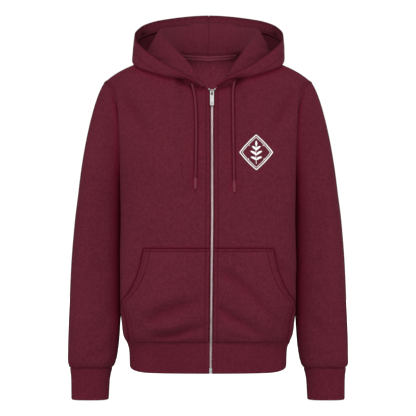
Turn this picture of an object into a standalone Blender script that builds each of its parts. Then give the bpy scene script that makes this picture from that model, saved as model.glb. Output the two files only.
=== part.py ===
"""Zip-up fleece hoodie, filled out as if worn, with its hood down.

Metres, +Z up, front towards -Y, wearer's left towards +X. The origin is the middle of the
neck at the height of the shoulder points, where the wearer carries the garment.
Every cloth piece is a thin wall on one of a few surfaces: the torso, a sleeve or the hood.
"""

import functools
import math

import bmesh
import bpy
import numpy as np
from mathutils import Matrix, Vector

SIDES = {"right": -1, "left": 1}  # the wearer's right is at -X

# Cloth and gaps
FLEECE = 0.0020
HOOD_CLOTH = 0.0024
TAPE = 0.0010
SEAM_GAP = 0.0004
LAID_GAP = 0.0004
RIB_PITCH = 0.0050
RIB_RAISE = 0.0006
SHARP = math.radians(50)

# Heights
HEM_BOTTOM = -0.6935
HEM_SEAM = -0.6252
SEAM_DIP = 0.0120
UNDERARM = -0.285
CUFF_BOTTOM = -0.7575
CUFF_SEAM = -0.6875

# Round the body: 0 is the centre front, RIDGE the fold beside the arm, 1 the side seam,
# 2 - RIDGE the fold at the back and 2 the centre back.
RIDGE = 0.8
SQUARENESS = 2.6
SIDE_SEAM_Y = 0.008
ARM_TUCK = 0.006

# The zip
ZIP_LEAN = ((-0.6935, 0.0055), (-0.36, 0.0090), (-0.08, 0.0086))
LEAN_DEPTH = 0.07
EDGE_TO_ZIP = 0.0036
CHAIN_HALF = 0.0028
CHAIN_FOOT = -0.680
TAPE_HALF = 0.0130


def table(names, *rows):
    """A small table as one array for each named column."""
    return dict(zip(names.split(), np.array(rows, float).T))


# Half sizes of the body at each height: "side" is the half width at the ridge, "front" and
# "back" the depths at the centre, and the ridge columns how far the side fold is out of the middle.
TORSO = table(
    "height  side    front   front_ridge back    back_ridge",
    (-0.6935, 0.1700, 0.1185, 0.036, 0.1120, 0.046),
    (-0.650, 0.1715, 0.1205, 0.037, 0.1130, 0.047),
    (-0.636, 0.1745, 0.1210, 0.039, 0.1140, 0.048),
    (-0.6252, 0.1806, 0.1218, 0.042, 0.1160, 0.051),
    (-0.612, 0.1848, 0.1275, 0.046, 0.1205, 0.055),
    (-0.590, 0.1875, 0.1320, 0.048, 0.1240, 0.059),
    (-0.560, 0.1900, 0.1345, 0.050, 0.1250, 0.060),
    (-0.450, 0.1910, 0.1340, 0.050, 0.1220, 0.060),
    (-0.360, 0.1895, 0.1310, 0.052, 0.1220, 0.062),
    (-0.285, 0.1905, 0.1270, 0.054, 0.1260, 0.064),
)

# Above the underarm each design column of the body is one Bezier, up to the neckline or the
# shoulder seam. "out" is its distance from the centre line at the underarm. The first handle
# leaves the underarm, the second arrives at the top, and "end" is the top itself.
YOKE_COLUMNS = "out     x1      y1      z1      x2      y2      z2      end_x   end_y   end_z"
FRONT_YOKE = table(
    YOKE_COLUMNS,
    (0.0000, 0.0000, -0.124, -0.215, 0.0000, -0.100, -0.1200, 0.0000, -0.074, -0.0815),
    (0.0560, 0.0560, -0.120, -0.205, 0.0560, -0.092, -0.0980, 0.0560, -0.056, -0.0650),
    (0.0830, 0.0830, -0.117, -0.200, 0.0830, -0.068, 0.00200, 0.0830, 0.0100, 0.00500),
    (0.1570, 0.1570, -0.104, -0.205, 0.1560, -0.068, -0.0200, 0.1560, 0.0080, -0.0200),
    (0.1905, 0.1895, -0.078, -0.215, 0.1990, -0.072, -0.0450, 0.2030, 0.0040, -0.0432),
    (0.0000, 0.1660, -0.060, -0.240, 0.1920, -0.068, -0.0760, 0.2280, 0.0000, -0.0612),
)
BACK_YOKE = table(
    YOKE_COLUMNS,
    (0.0000, 0.0000, 0.1280, -0.190, 0.0000, 0.1180, -0.0450, 0.0000, 0.0800, 0.00400),
    (0.0560, 0.0560, 0.1260, -0.190, 0.0540, 0.1080, -0.0350, 0.0500, 0.0660, 0.00550),
    (0.0830, 0.0830, 0.1230, -0.185, 0.0830, 0.0800, 0.00300, 0.0830, 0.0100, 0.00500),
    (0.1570, 0.1570, 0.1100, -0.190, 0.1560, 0.0750, -0.0200, 0.1560, 0.0080, -0.0200),
    (0.1905, 0.1900, 0.0850, -0.200, 0.1990, 0.0720, -0.0440, 0.2030, 0.0040, -0.0432),
    (0.0000, 0.1700, 0.0700, -0.235, 0.1950, 0.0660, -0.0750, 0.2280, 0.0000, -0.0612),
)
NECK_SIDE = 2  # the row whose top is the high shoulder point

# A sleeve's rings, from the cuff seam to just under the arm
SLEEVE = table(
    "height  outer   inner   middle  depth",
    (-0.6875, 0.3030, 0.2085, -0.012, 0.040),
    (-0.680, 0.3062, 0.2040, -0.011, 0.046),
    (-0.663, 0.3072, 0.1995, -0.010, 0.051),
    (-0.630, 0.3068, 0.1950, -0.008, 0.055),
    (-0.600, 0.3060, 0.1932, -0.004, 0.059),
    (-0.545, 0.3040, 0.1942, 0.000, 0.062),
    (-0.462, 0.3005, 0.1945, 0.004, 0.066),
    (-0.365, 0.2925, 0.1930, 0.007, 0.069),
    (-0.305, 0.2850, 0.1895, 0.008, 0.070),
)
SLEEVE_TOP_RING = -0.305
CAP_LEAN = 0.031
CAP_NARROWING = 0.45
CAP_REACH = 0.20
CAP_DROP = 0.042
SLEEVE_CLEAR = 0.0011

CUFF = table(
    "height  outer   inner   middle  depth",
    (-0.7575, 0.2990, 0.2180, -0.014, 0.0350),
    (-0.715, 0.2995, 0.2155, -0.013, 0.0360),
    (-0.6875, 0.3015, 0.2105, -0.012, 0.0385),
)

# The hood lies back in a roll: from the neck seam it rises to the crest, falls outwards to the
# bottom of a trough, and its outer wall rises again to the rim, which is the face edge.
# "neck" runs along the neckline, 0 at the zip, 1 at the shoulder point and 2 at the centre back.
HOOD = table(
    "neck  crest_x crest_y crest_z  low_x   low_y   low_z    rim_x   rim_y   rim_z   roll   tuck   belly",
    (0.15, 0.0125, -0.079, -0.0765, 0.0145, -0.083, -0.0775, 0.0155, -0.086, -0.0760, 0.001, 0.001, 0.001),
    (0.31, 0.0282, -0.078, -0.0577, 0.0370, -0.084, -0.0670, 0.0335, -0.087, -0.0610, 0.003, 0.003, 0.003),
    (0.60, 0.0540, -0.064, -0.0184, 0.0670, -0.076, -0.0590, 0.0560, -0.082, -0.0480, 0.005, 0.008, 0.006),
    (0.84, 0.0795, -0.040, 0.0119, 0.1130, -0.060, -0.0463, 0.0950, -0.064, -0.0270, 0.007, 0.018, 0.008),
    (1.00, 0.1034, -0.002, 0.0396, 0.1520, -0.034, -0.0310, 0.1440, -0.034, 0.0106, 0.009, 0.024, 0.010),
    (1.14, 0.1100, 0.024, 0.0520, 0.1645, 0.008, -0.0186, 0.1620, 0.010, 0.0330, 0.009, 0.024, 0.005),
    (1.30, 0.1078, 0.048, 0.0590, 0.1560, 0.052, -0.0330, 0.1637, 0.045, 0.0490, 0.010, 0.027, 0.011),
    (1.48, 0.0975, 0.068, 0.0645, 0.1310, 0.096, -0.0660, 0.1500, 0.100, 0.0714, 0.012, 0.030, 0.022),
    (1.65, 0.0760, 0.086, 0.0695, 0.0950, 0.128, -0.1050, 0.1116, 0.140, 0.0886, 0.014, 0.030, 0.030),
    (2.00, 0.0000, 0.100, 0.0806, 0.0000, 0.150, -0.1600, 0.0000, 0.185, 0.1043, 0.018, 0.040, 0.040),
)
HOOD_RAISE = 0.0016
HOOD_INSET = 0.0018
HOOD_SHIFT = 0.0030
STAND_RISE = 0.4

# The pocket's free edge: its distance from the centre front at each height
POCKET = table(
    "height   reach",
    (-0.6245, 0.168),
    (-0.600, 0.1700),
    (-0.580, 0.1725),
    (-0.566, 0.1755),
    (-0.556, 0.1795),
    (-0.547, 0.1825),
    (-0.538, 0.180),
    (-0.521, 0.1665),
    (-0.496, 0.153),
    (-0.462, 0.142),
    (-0.4264, 0.1365),
)
POCKET_BULGE = 0.011
POCKET_MOUTH = 0.0065
POCKET_CORNER = -0.552
POCKET_LIFT = 0.0009
POCKET_EDGE = 0.0048

# Broad soft folds of the front panels: middle, direction in degrees from +X, half length,
# half width and how deep the trough is
FOLDS = table(
    "side x      z       angle  length width  depth",
    (-1, -0.085, -0.585, 17, 0.055, 0.016, 0.0040),
    (-1, -0.035, -0.612, 10, 0.035, 0.012, 0.0030),
    (-1, -0.145, -0.175, 60, 0.060, 0.022, 0.0040),
    (1, 0.070, -0.510, -30, 0.050, 0.016, 0.0035),
    (1, 0.085, -0.590, -18, 0.070, 0.016, 0.0045),
    (1, 0.150, -0.160, -58, 0.060, 0.022, 0.0040),
)

# Slider and pull tab, in a frame on the zip: across, up the zip and out of it
STOP_AT = -0.0835
BOX_AT = -0.6867
SLIDER_AT = -0.0885
SLIDER_HALF = 0.0052
SLIDER_LENGTH = 0.0100
SLIDER_FRONT = 0.0030
BAIL_HALF = 0.0008
BAIL_ROOM = 0.0024
PIVOT_OUT = 0.0042
PIVOT_DOWN = 0.0018
TAB_HALF = 0.0040
TAB_LENGTH = 0.0340
TAB_THICK = 0.0012
TAB_REST = math.radians(-4)
EYE_LENGTH = 0.0085
HOLE_AT = -0.0292

CORD_RADIUS = 0.0021
TIP_RADIUS = 0.0030
TIP_LENGTH = 0.024
# Each cord leaves its eyelet under the hood's edge and hangs down the chest
CORD_ROUTES = {
    "right": (
        (-0.0352, -0.0840, -0.0722),
        (-0.0325, -0.0880, -0.0800),
        (-0.0300, -0.0935, -0.0905),
        (-0.0282, -0.0985, -0.1020),
        (-0.0270, -0.1050, -0.1170),
        (-0.0255, -0.1160, -0.1450),
        (-0.0250, -0.1230, -0.1750),
        (-0.0255, -0.1280, -0.2100),
        (-0.0262, -0.1305, -0.2450),
        (-0.0267, -0.1320, -0.2740),
    ),
    "left": (
        (0.0575, -0.0815, -0.0668),
        (0.0550, -0.0865, -0.0770),
        (0.0537, -0.0925, -0.0900),
        (0.0533, -0.0975, -0.1040),
        (0.0535, -0.1040, -0.1200),
        (0.0538, -0.1140, -0.1480),
        (0.0540, -0.1210, -0.1800),
        (0.0545, -0.1270, -0.2150),
        (0.0550, -0.1300, -0.2500),
        (0.0555, -0.1318, -0.2800),
    ),
}

# How finely the walls are divided
SEAM_COLUMN = 1 - 0.002  # the last column stops just short of the side seam
BODY_ROWS = (0.0, 0.02, 0.055, 0.11, 0.20, 0.32, 0.47, 0.64, 0.82, 1.0,
             1.13, 1.27, 1.42, 1.57, 1.71, 1.83, 1.92, 2.0)
NECK_TAPE_COLUMNS = 4
NECK_TAPE_ROWS = (1.935, 1.96, 1.985)
NECK_TAPE_DEPTH = 0.0032
TAPE_DEPTH = 0.0025
BODY_COLUMNS = (0.06, 0.11, 0.152, 0.19, 0.21, 0.2297, 0.31, 0.40, 0.493, 0.59, 0.70,
                0.80, 0.87, 0.935, 1.0)
SLEEVE_ROWS = (0.0, 0.02, 0.07, 0.16, 0.28, 0.40, 0.55, 0.70, 0.86, 1.0, 1.15, 1.32, 1.5, 1.68, 1.85, 2.0)
HOOD_SECTIONS = (0.15, 0.26, 0.37, 0.479, 0.57, 0.662, 0.745, 0.827, 0.914, 1.0, 1.085,
                 1.173, 1.255, 1.338, 1.43, 1.521, 1.63, 1.739, 1.87, 2.0)
HOOD_STEPS = (0.0, 0.35, 0.65, 0.82, 1.0, 1.12, 1.25, 1.45, 1.65, 1.82, 1.92, 2.0,
              2.08, 2.18, 2.35, 2.55, 2.78, 3.0)

COLOURS = {
    "fleece": ((0.122, 0.0155, 0.0305, 1), 0.92, 0.0),
    "rib": ((0.112, 0.0140, 0.0280, 1), 0.92, 0.0),
    "tape": ((0.150, 0.0300, 0.0480, 1), 0.85, 0.0),
    "cord": ((0.115, 0.0150, 0.0290, 1), 0.90, 0.0),
    "metal": ((0.62, 0.58, 0.58, 1), 0.32, 1.0),
}


# ---------------------------------------------------------------- curves


@functools.lru_cache(maxsize=None)
def slopes_of(knots, values):
    """Slopes of a cubic through the values that never overshoots them."""
    steps = np.diff(knots)
    rises = np.diff(values) / steps
    slopes = np.zeros(len(values))
    for i in range(1, len(values) - 1):
        if rises[i - 1] * rises[i] > 0:
            near = 2 * steps[i] + steps[i - 1]
            far = steps[i] + 2 * steps[i - 1]
            slopes[i] = (near + far) / (near / rises[i - 1] + far / rises[i])
    slopes[0] = rises[0]
    slopes[-1] = rises[-1]
    return slopes


def smooth(knots, values, at):
    """The smooth curve through a table's column, read at one place."""
    i = int(np.clip(np.searchsorted(knots, at) - 1, 0, len(knots) - 2))
    slopes = slopes_of(tuple(knots), tuple(values))
    step = knots[i + 1] - knots[i]
    t = float(np.clip((at - knots[i]) / step, 0, 1))
    return (
        (2 * t**3 - 3 * t**2 + 1) * values[i]
        + (t**3 - 2 * t**2 + t) * step * slopes[i]
        + (3 * t**2 - 2 * t**3) * values[i + 1]
        + (t**3 - t**2) * step * slopes[i + 1]
    )


def bezier(points, t):
    a, b, c, d = points
    return (1 - t) ** 3 * a + 3 * t * (1 - t) ** 2 * b + 3 * t**2 * (1 - t) * c + t**3 * d


def zip_x(z):
    """How far the zip is from the middle of the body."""
    heights, offsets = zip(*ZIP_LEAN)
    return float(np.interp(z, heights, offsets))


def lean(x, y, z):
    """The fronts and the hood lean with the zip, less towards the sides and the shoulders."""
    across = max(1 - abs(x) / torso_size("side", UNDERARM), 0) ** 1.5
    return zip_x(z) * across * float(np.clip(-y / LEAN_DEPTH, 0, 1))


# ---------------------------------------------------------------- torso


def torso_size(column, z):
    return smooth(TORSO["height"], TORSO[column], z)


def round_of(out):
    """Where round the body a column at this distance from the centre lies."""
    return RIDGE * math.asin(min(out / torso_size("side", UNDERARM), 1)) / (math.pi / 2)


def level_section(face, u, z):
    """A point of the body below the arms: u from 0 at the centre to 1 at the side seam."""
    sign = -1 if face == "front" else 1
    side = torso_size("side", z)
    middle = torso_size(face, z)
    ridge = torso_size(face + "_ridge", z)
    if u <= RIDGE:
        across = math.sin(u / RIDGE * math.pi / 2)
        bow = max(1 - across**SQUARENESS, 0) ** (1 / SQUARENESS)
        return np.array((side * across, sign * (ridge + (middle - ridge) * bow), z))
    t = (u - RIDGE) / (1 - RIDGE)
    tuck = ARM_TUCK * float(np.clip((z - UNDERARM) / 0.05 + 1, 0, 1)) ** 2
    start = np.array((side, sign * ridge))
    end = np.array((side - tuck, SIDE_SEAM_Y))
    turn = np.array((side, (start[1] + end[1]) / 2))
    x, y = (1 - t) ** 2 * start + 2 * t * (1 - t) * turn + t**2 * end
    return np.array((x, y, z))


def yoke_knots(yoke):
    knots = [round_of(out) for out in yoke["out"]]
    knots[-1] = 1.0
    return np.array(knots)


def top_edge(yoke, u):
    """The neckline and, past the shoulder point, the shoulder seam, which both faces share."""
    knots = yoke_knots(yoke)
    part = slice(0, NECK_SIDE + 1) if u <= knots[NECK_SIDE] else slice(NECK_SIDE, None)
    return np.array([smooth(knots[part], yoke[axis][part], u) for axis in ("end_x", "end_y", "end_z")])


def yoke_point(face, u, t):
    """A point of the body above the underarm: t from 0 there to 1 at the top edge."""
    yoke = FRONT_YOKE if face == "front" else BACK_YOKE
    knots = yoke_knots(yoke)
    handles = [
        np.array([smooth(knots, yoke[axis + end], u) for axis in "xyz"]) for end in ("1", "2")
    ]
    return bezier((level_section(face, u, UNDERARM), *handles, top_edge(yoke, u)), t)


def fold_depth(side, x, z):
    """How far the soft folds pull the front in at a place."""
    depth = 0.0
    for row in zip(*FOLDS.values()):
        fold_side, fold_x, fold_z, angle, length, width, deep = row
        if fold_side != side:
            continue
        turn = math.radians(angle)
        along = (x - fold_x) * math.cos(turn) + (z - fold_z) * math.sin(turn)
        across = (z - fold_z) * math.cos(turn) - (x - fold_x) * math.sin(turn)
        depth += deep * math.exp(-((along / length) ** 2) - (across / width) ** 2)
    return depth


def hem_seam(u):
    """The hem seam hangs lower towards the sides."""
    return HEM_SEAM - SEAM_DIP * math.sin(math.pi / 2 * abs(u)) ** 2


def body_point(face, side, u, v):
    """v is 0 at the hem seam, 1 at the underarm and 2 at the neckline and shoulder seam."""
    if v <= 1:
        point = level_section(face, u, hem_seam(u) + (UNDERARM - hem_seam(u)) * v)
    else:
        point = yoke_point(face, u, v - 1)
    x, y, z = point
    if face == "back":
        return np.array((side * x, y, z))
    away_from_seams = min(1, (1 - u) / 0.15) * float(np.clip((x - TAPE_HALF) / 0.02, 0, 1))
    return np.array((side * x + lean(x, y, z), y + fold_depth(side, side * x, z) * away_from_seams, z))


def level_of(u, z):
    return (z - hem_seam(u)) / (UNDERARM - hem_seam(u))


# ---------------------------------------------------------------- walls


def normal_of(surface, u, v):
    """The surface's outward normal, from its two directions. Both run inside the patch."""
    h = 1e-4
    du = surface(u + h, v) - surface(u - h, v)
    dv = surface(u, v + h) - surface(u, v - h)
    normal = np.cross(du, dv)
    return normal / np.linalg.norm(normal)


def grid_of(surface, us, vs, out, facing=normal_of):
    """Points of the surface, moved out along its normal, and row by row."""
    reach = out if callable(out) else (lambda u, v: out)
    return [[surface(u, v) + facing(surface, u, v) * reach(u, v) for u in us] for v in vs]


def add_object(name, mesh, material):
    mesh.materials.append(material)
    piece = bpy.data.objects.new(name, mesh)
    bpy.context.scene.collection.objects.link(piece)
    return piece


def closed_wall(name, outer, inner, ring, material):
    """Two grids of points joined all round: a wall, or a tube where the rows are rings."""
    shape = bmesh.new()
    faces = []
    grids = [[[shape.verts.new(point) for point in row] for row in grid] for grid in (outer, inner)]
    rows = len(outer)
    columns = len(outer[0])
    around = columns if ring else columns - 1
    for grid in grids:
        for j in range(rows - 1):
            for i in range(around):
                k = (i + 1) % columns
                faces.append((grid[j][i], grid[j][k], grid[j + 1][k], grid[j + 1][i]))
    first, second = grids
    for j in (0, rows - 1):
        for i in range(around):
            k = (i + 1) % columns
            faces.append((first[j][i], first[j][k], second[j][k], second[j][i]))
    if not ring:
        for i in (0, columns - 1):
            for j in range(rows - 1):
                faces.append((first[j][i], first[j + 1][i], second[j + 1][i], second[j][i]))
    for face in faces:
        shape.faces.new(face)
    bmesh.ops.recalc_face_normals(shape, faces=shape.faces)
    mesh = bpy.data.meshes.new(name)
    shape.to_mesh(mesh)
    shape.free()
    mesh.shade_smooth()
    mesh.set_sharp_from_angle(angle=SHARP)
    return add_object(name, mesh, material)


def cloth(name, surface, us, vs, material, out=0.0, thick=FLEECE, ring=False, facing=normal_of):
    """A wall whose outer side is the surface moved out, and whose inner side lies under it."""
    outer = grid_of(surface, us, vs, out, facing)
    depth = (lambda u, v: out(u, v) - thick) if callable(out) else out - thick
    inner = grid_of(surface, us, vs, depth, facing)
    return closed_wall(name, outer, inner, ring, material)


def without(normal, axis):
    """The normal turned level in one axis, so that two pieces meet squarely at a seam."""
    normal = normal.copy()
    normal[axis] = 0
    return normal / np.linalg.norm(normal)


# ---------------------------------------------------------------- body panels


def panel_normal(surface, u, v):
    normal = normal_of(surface, u, v)
    at_shoulder = v == 2 and abs(u) >= round_of(FRONT_YOKE["out"][NECK_SIDE]) - 1e-6
    return without(normal, 1) if at_shoulder else normal


def make_fronts(material):
    edge = round_of(EDGE_TO_ZIP)
    columns = (edge, *BODY_COLUMNS[:-1], SEAM_COLUMN)
    for name, side in SIDES.items():
        def surface(u, v, side=side):
            return body_point("front", side, u, v) - np.array((0, SEAM_GAP / 2, 0))

        facing = surface if side > 0 else (lambda u, v, s=surface: s(-u, v))
        places = [side * u for u in columns]
        cloth(f"front_{name}", facing, places, BODY_ROWS, material, facing=panel_normal)


def make_back(material):
    def surface(u, v):
        point = body_point("back", 1, abs(u), v) + np.array((0, SEAM_GAP / 2, 0))
        return point * np.array((-math.copysign(1, u), 1, 1))

    half = (*BODY_COLUMNS[:-1], SEAM_COLUMN)
    columns = [-u for u in reversed(half)] + [0.0] + list(half)
    cloth("back", surface, columns, BODY_ROWS, material, facing=panel_normal)


def make_neck_tape(material):
    def surface(u, v):
        point = body_point("back", 1, abs(u), v)
        return point * np.array((-math.copysign(1, u), 1, 1))

    half = BODY_COLUMNS[:NECK_TAPE_COLUMNS]
    columns = [-u for u in reversed(half)] + [0.0] + list(half)
    cloth("neck_tape", surface, columns, NECK_TAPE_ROWS, material, -NECK_TAPE_DEPTH, TAPE)


# ---------------------------------------------------------------- ribbed bands


def even_points(loop, count, closed):
    """Points at even distances along a densely drawn line."""
    line = np.array(loop + loop[:1] if closed else loop)
    lengths = np.concatenate([[0], np.cumsum(np.linalg.norm(np.diff(line, axis=0), axis=1))])
    wanted = np.linspace(0, lengths[-1], count + 1)
    found = np.stack([np.interp(wanted, lengths, line[:, axis]) for axis in range(3)], axis=1)
    return found[:-1] if closed else found


def outward(points, closed):
    """Level normals of a line that runs clockwise as seen from above."""
    if closed:
        along = np.roll(points, -1, axis=0) - np.roll(points, 1, axis=0)
    else:
        along = np.gradient(points, axis=0)
    normals = np.stack([along[:, 1], -along[:, 0], np.zeros(len(along))], axis=1)
    return normals / np.linalg.norm(normals, axis=1)[:, None]


def ribbed_band(name, loop_at, levels, ribs, per_inner, closed, material):
    """A band whose outer side has a raised rib at every second point, over a plain inside."""
    shape = bmesh.new()
    outer_rows = []
    inner_rows = []
    for level in levels:
        outer = even_points(loop_at(level), 2 * ribs, closed)
        raised = (np.arange(len(outer)) % 2)[:, None] * RIB_RAISE
        normals = outward(outer, closed)
        inner = (outer - normals * FLEECE)[::per_inner]
        outer_rows.append([shape.verts.new(p) for p in outer + normals * raised])
        inner_rows.append([shape.verts.new(p) for p in inner])
    for rows in (outer_rows, inner_rows):
        count = len(rows[0])
        for low, high in zip(rows, rows[1:]):
            for i in range(count if closed else count - 1):
                k = (i + 1) % count
                shape.faces.new((low[i], low[k], high[k], high[i]))
    for outer, inner in ((outer_rows[0], inner_rows[0]), (outer_rows[-1], inner_rows[-1])):
        for i in range(2 * ribs // per_inner):
            span = [outer[(i * per_inner + n) % len(outer)] for n in range(per_inner + 1)]
            shape.faces.new((*span, inner[(i + 1) % len(inner)], inner[i]))
    if not closed:
        for end in (0, -1):
            for j in range(len(levels) - 1):
                shape.faces.new(
                    (outer_rows[j][end], outer_rows[j + 1][end], inner_rows[j + 1][end], inner_rows[j][end])
                )
    bmesh.ops.recalc_face_normals(shape, faces=shape.faces)
    mesh = bpy.data.meshes.new(name)
    shape.to_mesh(mesh)
    shape.free()
    return add_object(name, mesh, material)


def make_hem(material):
    edge = round_of(EDGE_TO_ZIP)

    def loop_at(level):
        line = []
        for face, side, places in (
            ("front", -1, np.linspace(edge, 1, 60)),
            ("back", -1, np.linspace(1, 0, 60)),
            ("back", 1, np.linspace(0, 1, 60)),
            ("front", 1, np.linspace(1, edge, 60)),
        ):
            for u in places:
                z = HEM_BOTTOM + (hem_seam(u) - SEAM_GAP - HEM_BOTTOM) * level
                x, y, _ = level_section(face, u, z)
                line.append(np.array((side * x + lean(x, y, z), y, z)))
        return [p for i, p in enumerate(line) if i == 0 or np.linalg.norm(p - line[i - 1]) > 1e-6]

    around = np.sum(np.linalg.norm(np.diff(np.array(loop_at(0)), axis=0), axis=1))
    ribs = 2 * round(around / RIB_PITCH / 2)
    ribbed_band("hem_rib", loop_at, (0, 0.8, 1), ribs, 4, False, material)


def arm_ring(sizes, side, z, w):
    """A point of a sleeve's or cuff's ring: w is 0 at its inner side and runs round by the front."""
    outer, inner, middle, depth = (
        smooth(sizes["height"], sizes[column], z) for column in ("outer", "inner", "middle", "depth")
    )
    turn = 2 * math.pi * w
    x = (outer + inner) / 2 - (outer - inner) / 2 * math.cos(turn)
    return np.array((side * x, middle - depth * math.sin(turn), z))


def make_cuffs(material):
    for name, side in SIDES.items():
        def loop_at(z, side=side):
            return [arm_ring(CUFF, side, z, -side * w) for w in np.linspace(0, 1, 120, endpoint=False)]

        line = np.array(loop_at(CUFF_BOTTOM))
        around = np.sum(np.linalg.norm(np.diff(line, axis=0), axis=1))
        ribs = 4 * round(around / RIB_PITCH / 4)
        heights = (CUFF_BOTTOM, -0.715, CUFF_SEAM - SEAM_GAP)
        ribbed_band(f"cuff_{name}", loop_at, heights, ribs, 4, True, material)


# ---------------------------------------------------------------- sleeves


def armhole(w):
    """The armhole seam: w is 0 under the arm, 0.5 at the shoulder point and 1 under it again."""
    if w <= 0.5:
        return yoke_point("front", 1, 2 * w)
    return yoke_point("back", 1, 2 - 2 * w)


def sleeve_point(side, w, v):
    """v is 0 at the cuff seam, 1 just under the arm and 2 at the armhole seam."""
    w = w % 1.0
    if v <= 1:
        return arm_ring(SLEEVE, side, CUFF_SEAM + (SLEEVE_TOP_RING - CUFF_SEAM) * v, w)
    low = arm_ring(SLEEVE, 1, SLEEVE_TOP_RING, w)
    high = armhole(w) + np.array((SLEEVE_CLEAR, 0, 0))
    rise = high[2] - low[2]
    drop = min(CAP_DROP, 0.35 * rise)

    def leaning(z):
        share = (z - low[2]) / CAP_REACH
        narrow = 1 - CAP_NARROWING * share
        return np.array((low[0] - CAP_LEAN * share**1.35, low[1] * narrow, z))

    second = leaning(high[2] - drop)
    first = leaning(low[2] + 0.45 * (second[2] - low[2]))
    x, y, z = bezier((low, first, second, high), v - 1)
    return np.array((side * (x + SLEEVE_CLEAR * 4 * (v - 1) * (2 - v)), y, z))


def sleeve_columns():
    """Columns that reach the armhole where the rows of the body panels do."""
    front = [(row - 1) / 2 for row in BODY_ROWS if row >= 1]
    return front + [1 - w for w in reversed(front[1:-1])]


def make_sleeves(material):
    columns = sleeve_columns()
    for name, side in SIDES.items():
        def surface(w, v, side=side):
            return sleeve_point(side, side * w, v)

        cloth(f"sleeve_{name}", surface, columns, SLEEVE_ROWS, material, ring=True)


# ---------------------------------------------------------------- hood


def neckline(along):
    """The neck seam as the body's columns draw it: along is 0 at the zip, 1 at the shoulder
    point and 2 at the centre back."""
    yoke, share = (FRONT_YOKE, along) if along <= 1 else (BACK_YOKE, abs(2 - along))
    u = share * round_of(yoke["out"][NECK_SIDE])
    knots = (0.0, *BODY_COLUMNS)
    i = int(np.clip(np.searchsorted(knots, u - 1e-9) - 1, 0, len(knots) - 2))
    near, far = (top_edge(yoke, knots[k]) for k in (i, i + 1))
    x, y, z = near + (far - near) * (u - knots[i]) / (knots[i + 1] - knots[i])
    return np.array((math.copysign(x, 2 - along), y, z))


def hood_size(column, along):
    """Past the centre back the table runs back again, so that the roll is smooth across it."""
    values = HOOD[column]
    mirrored = -values[-2::-1] if column.endswith("_x") else values[-2::-1]
    knots = np.concatenate([HOOD["neck"], 4 - HOOD["neck"][-2::-1]])
    return smooth(knots, np.concatenate([values, mirrored]), along)


def hood_point(side, along, step):
    """step is 0 at the neck seam, 1 at the crest, 2 at the bottom of the trough, 3 at the rim."""
    crest, low, rim = (
        np.array([hood_size(f"{name}_{axis}", along) for axis in "xyz"]) for name in ("crest", "low", "rim")
    )
    roll = hood_size("roll", along)
    tuck = hood_size("tuck", along)
    belly = hood_size("belly", along)
    up = np.array((0, 0, 1.0))
    seam = neckline(along) + up * HOOD_RAISE
    out = (low - seam) * np.array((1, 1, 0))
    out /= np.linalg.norm(out)
    seam -= out * HOOD_INSET
    if step <= 1:
        handles = (seam + up * STAND_RISE * (crest[2] - seam[2]), crest - out * roll)
        point = bezier((seam, *handles, crest), step)
    elif step <= 2:
        point = bezier((crest, crest + out * roll, low - out * tuck, low), step - 1)
    else:
        height = rim[2] - low[2]
        handles = (low + out * belly, rim - up * 0.45 * height + out * belly * 0.5)
        point = bezier((low, *handles, rim), step - 2)
    aside = max(1 - abs(step - 1), 0) + 0.7 * max(step - 2, 0)
    shift = HOOD_SHIFT * aside * float(np.clip((along - 0.15) / 0.45, 0, 1))
    shift += lean(*point) * (1 - max(step - 1, 0) / 2)
    return np.array((side * point[0] + shift, point[1], point[2]))


def make_hood(material):
    for name, side in SIDES.items():
        def surface(k, step, side=side):
            point = hood_point(side, -side * k, step)
            return point + np.array((side * SEAM_GAP / 2, 0, 0))

        def facing(patch, k, step):
            normal = normal_of(patch, k, max(step, 0.03))
            if abs(k) == HOOD_SECTIONS[-1]:
                normal = without(normal, 0)
            return without(normal, 2) if step == 0 else normal

        sections = [-side * k for k in HOOD_SECTIONS]
        cloth(
            f"hood_{name}", surface, sections, HOOD_STEPS, material, HOOD_CLOTH / 2, HOOD_CLOTH, facing=facing
        )


# ---------------------------------------------------------------- pockets


def make_pockets(material):
    heights = (-0.6238, -0.6175, -0.6065, -0.590, -0.575, -0.5614, -0.5545, -0.547,
               -0.538, -0.52, -0.495, -0.462, -0.4264)
    shares = (0.0, 0.1, 0.25, 0.40, 0.55, 0.68, 0.79, 0.88, 0.95, 1.0)
    for name, side in SIDES.items():
        def place(share, z):
            reach = smooth(POCKET["height"], POCKET["reach"], z)
            x = POCKET_EDGE + (reach - POCKET_EDGE) * share
            across = min(x / torso_size("side", z), 1)
            return RIDGE * math.asin(across) / (math.pi / 2)

        def surface(share, z, side=side):
            u = place(side * share, z)
            return body_point("front", side, u, level_of(u, z))

        def slack(share, z, side=side):
            """The pocket stands off the front, in its middle and along its mouth above the corner."""
            share = float(np.clip(side * share, 0, 1))
            up = float(np.clip((z - heights[0]) / (heights[-1] - heights[0]), 0, 1))
            full = math.sin(math.pi * up**0.8) ** 0.7 * math.sin(math.pi * share) ** 0.7
            along_mouth = float(np.clip((z - POCKET_CORNER) / (heights[-1] - POCKET_CORNER), 0, 1))
            mouth = math.sin(math.pi * along_mouth) ** 0.7 * share**4
            return FLEECE + POCKET_LIFT + POCKET_BULGE * full + POCKET_MOUTH * mouth

        columns = [side * share for share in shares]
        cloth(f"pocket_{name}", surface, columns, heights, material, slack)


# ---------------------------------------------------------------- zip


def zip_point(x, z):
    """A point of the closed front's surface, x to the side of the zip."""
    u = RIDGE * math.asin(abs(x) / torso_size("side", z)) / (math.pi / 2)
    level = 1 + yoke_level(z) if z > UNDERARM else level_of(u, z)
    point = body_point("front", 1, u, level)
    return np.array((zip_x(point[2]) + x, point[1], point[2]))


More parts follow.
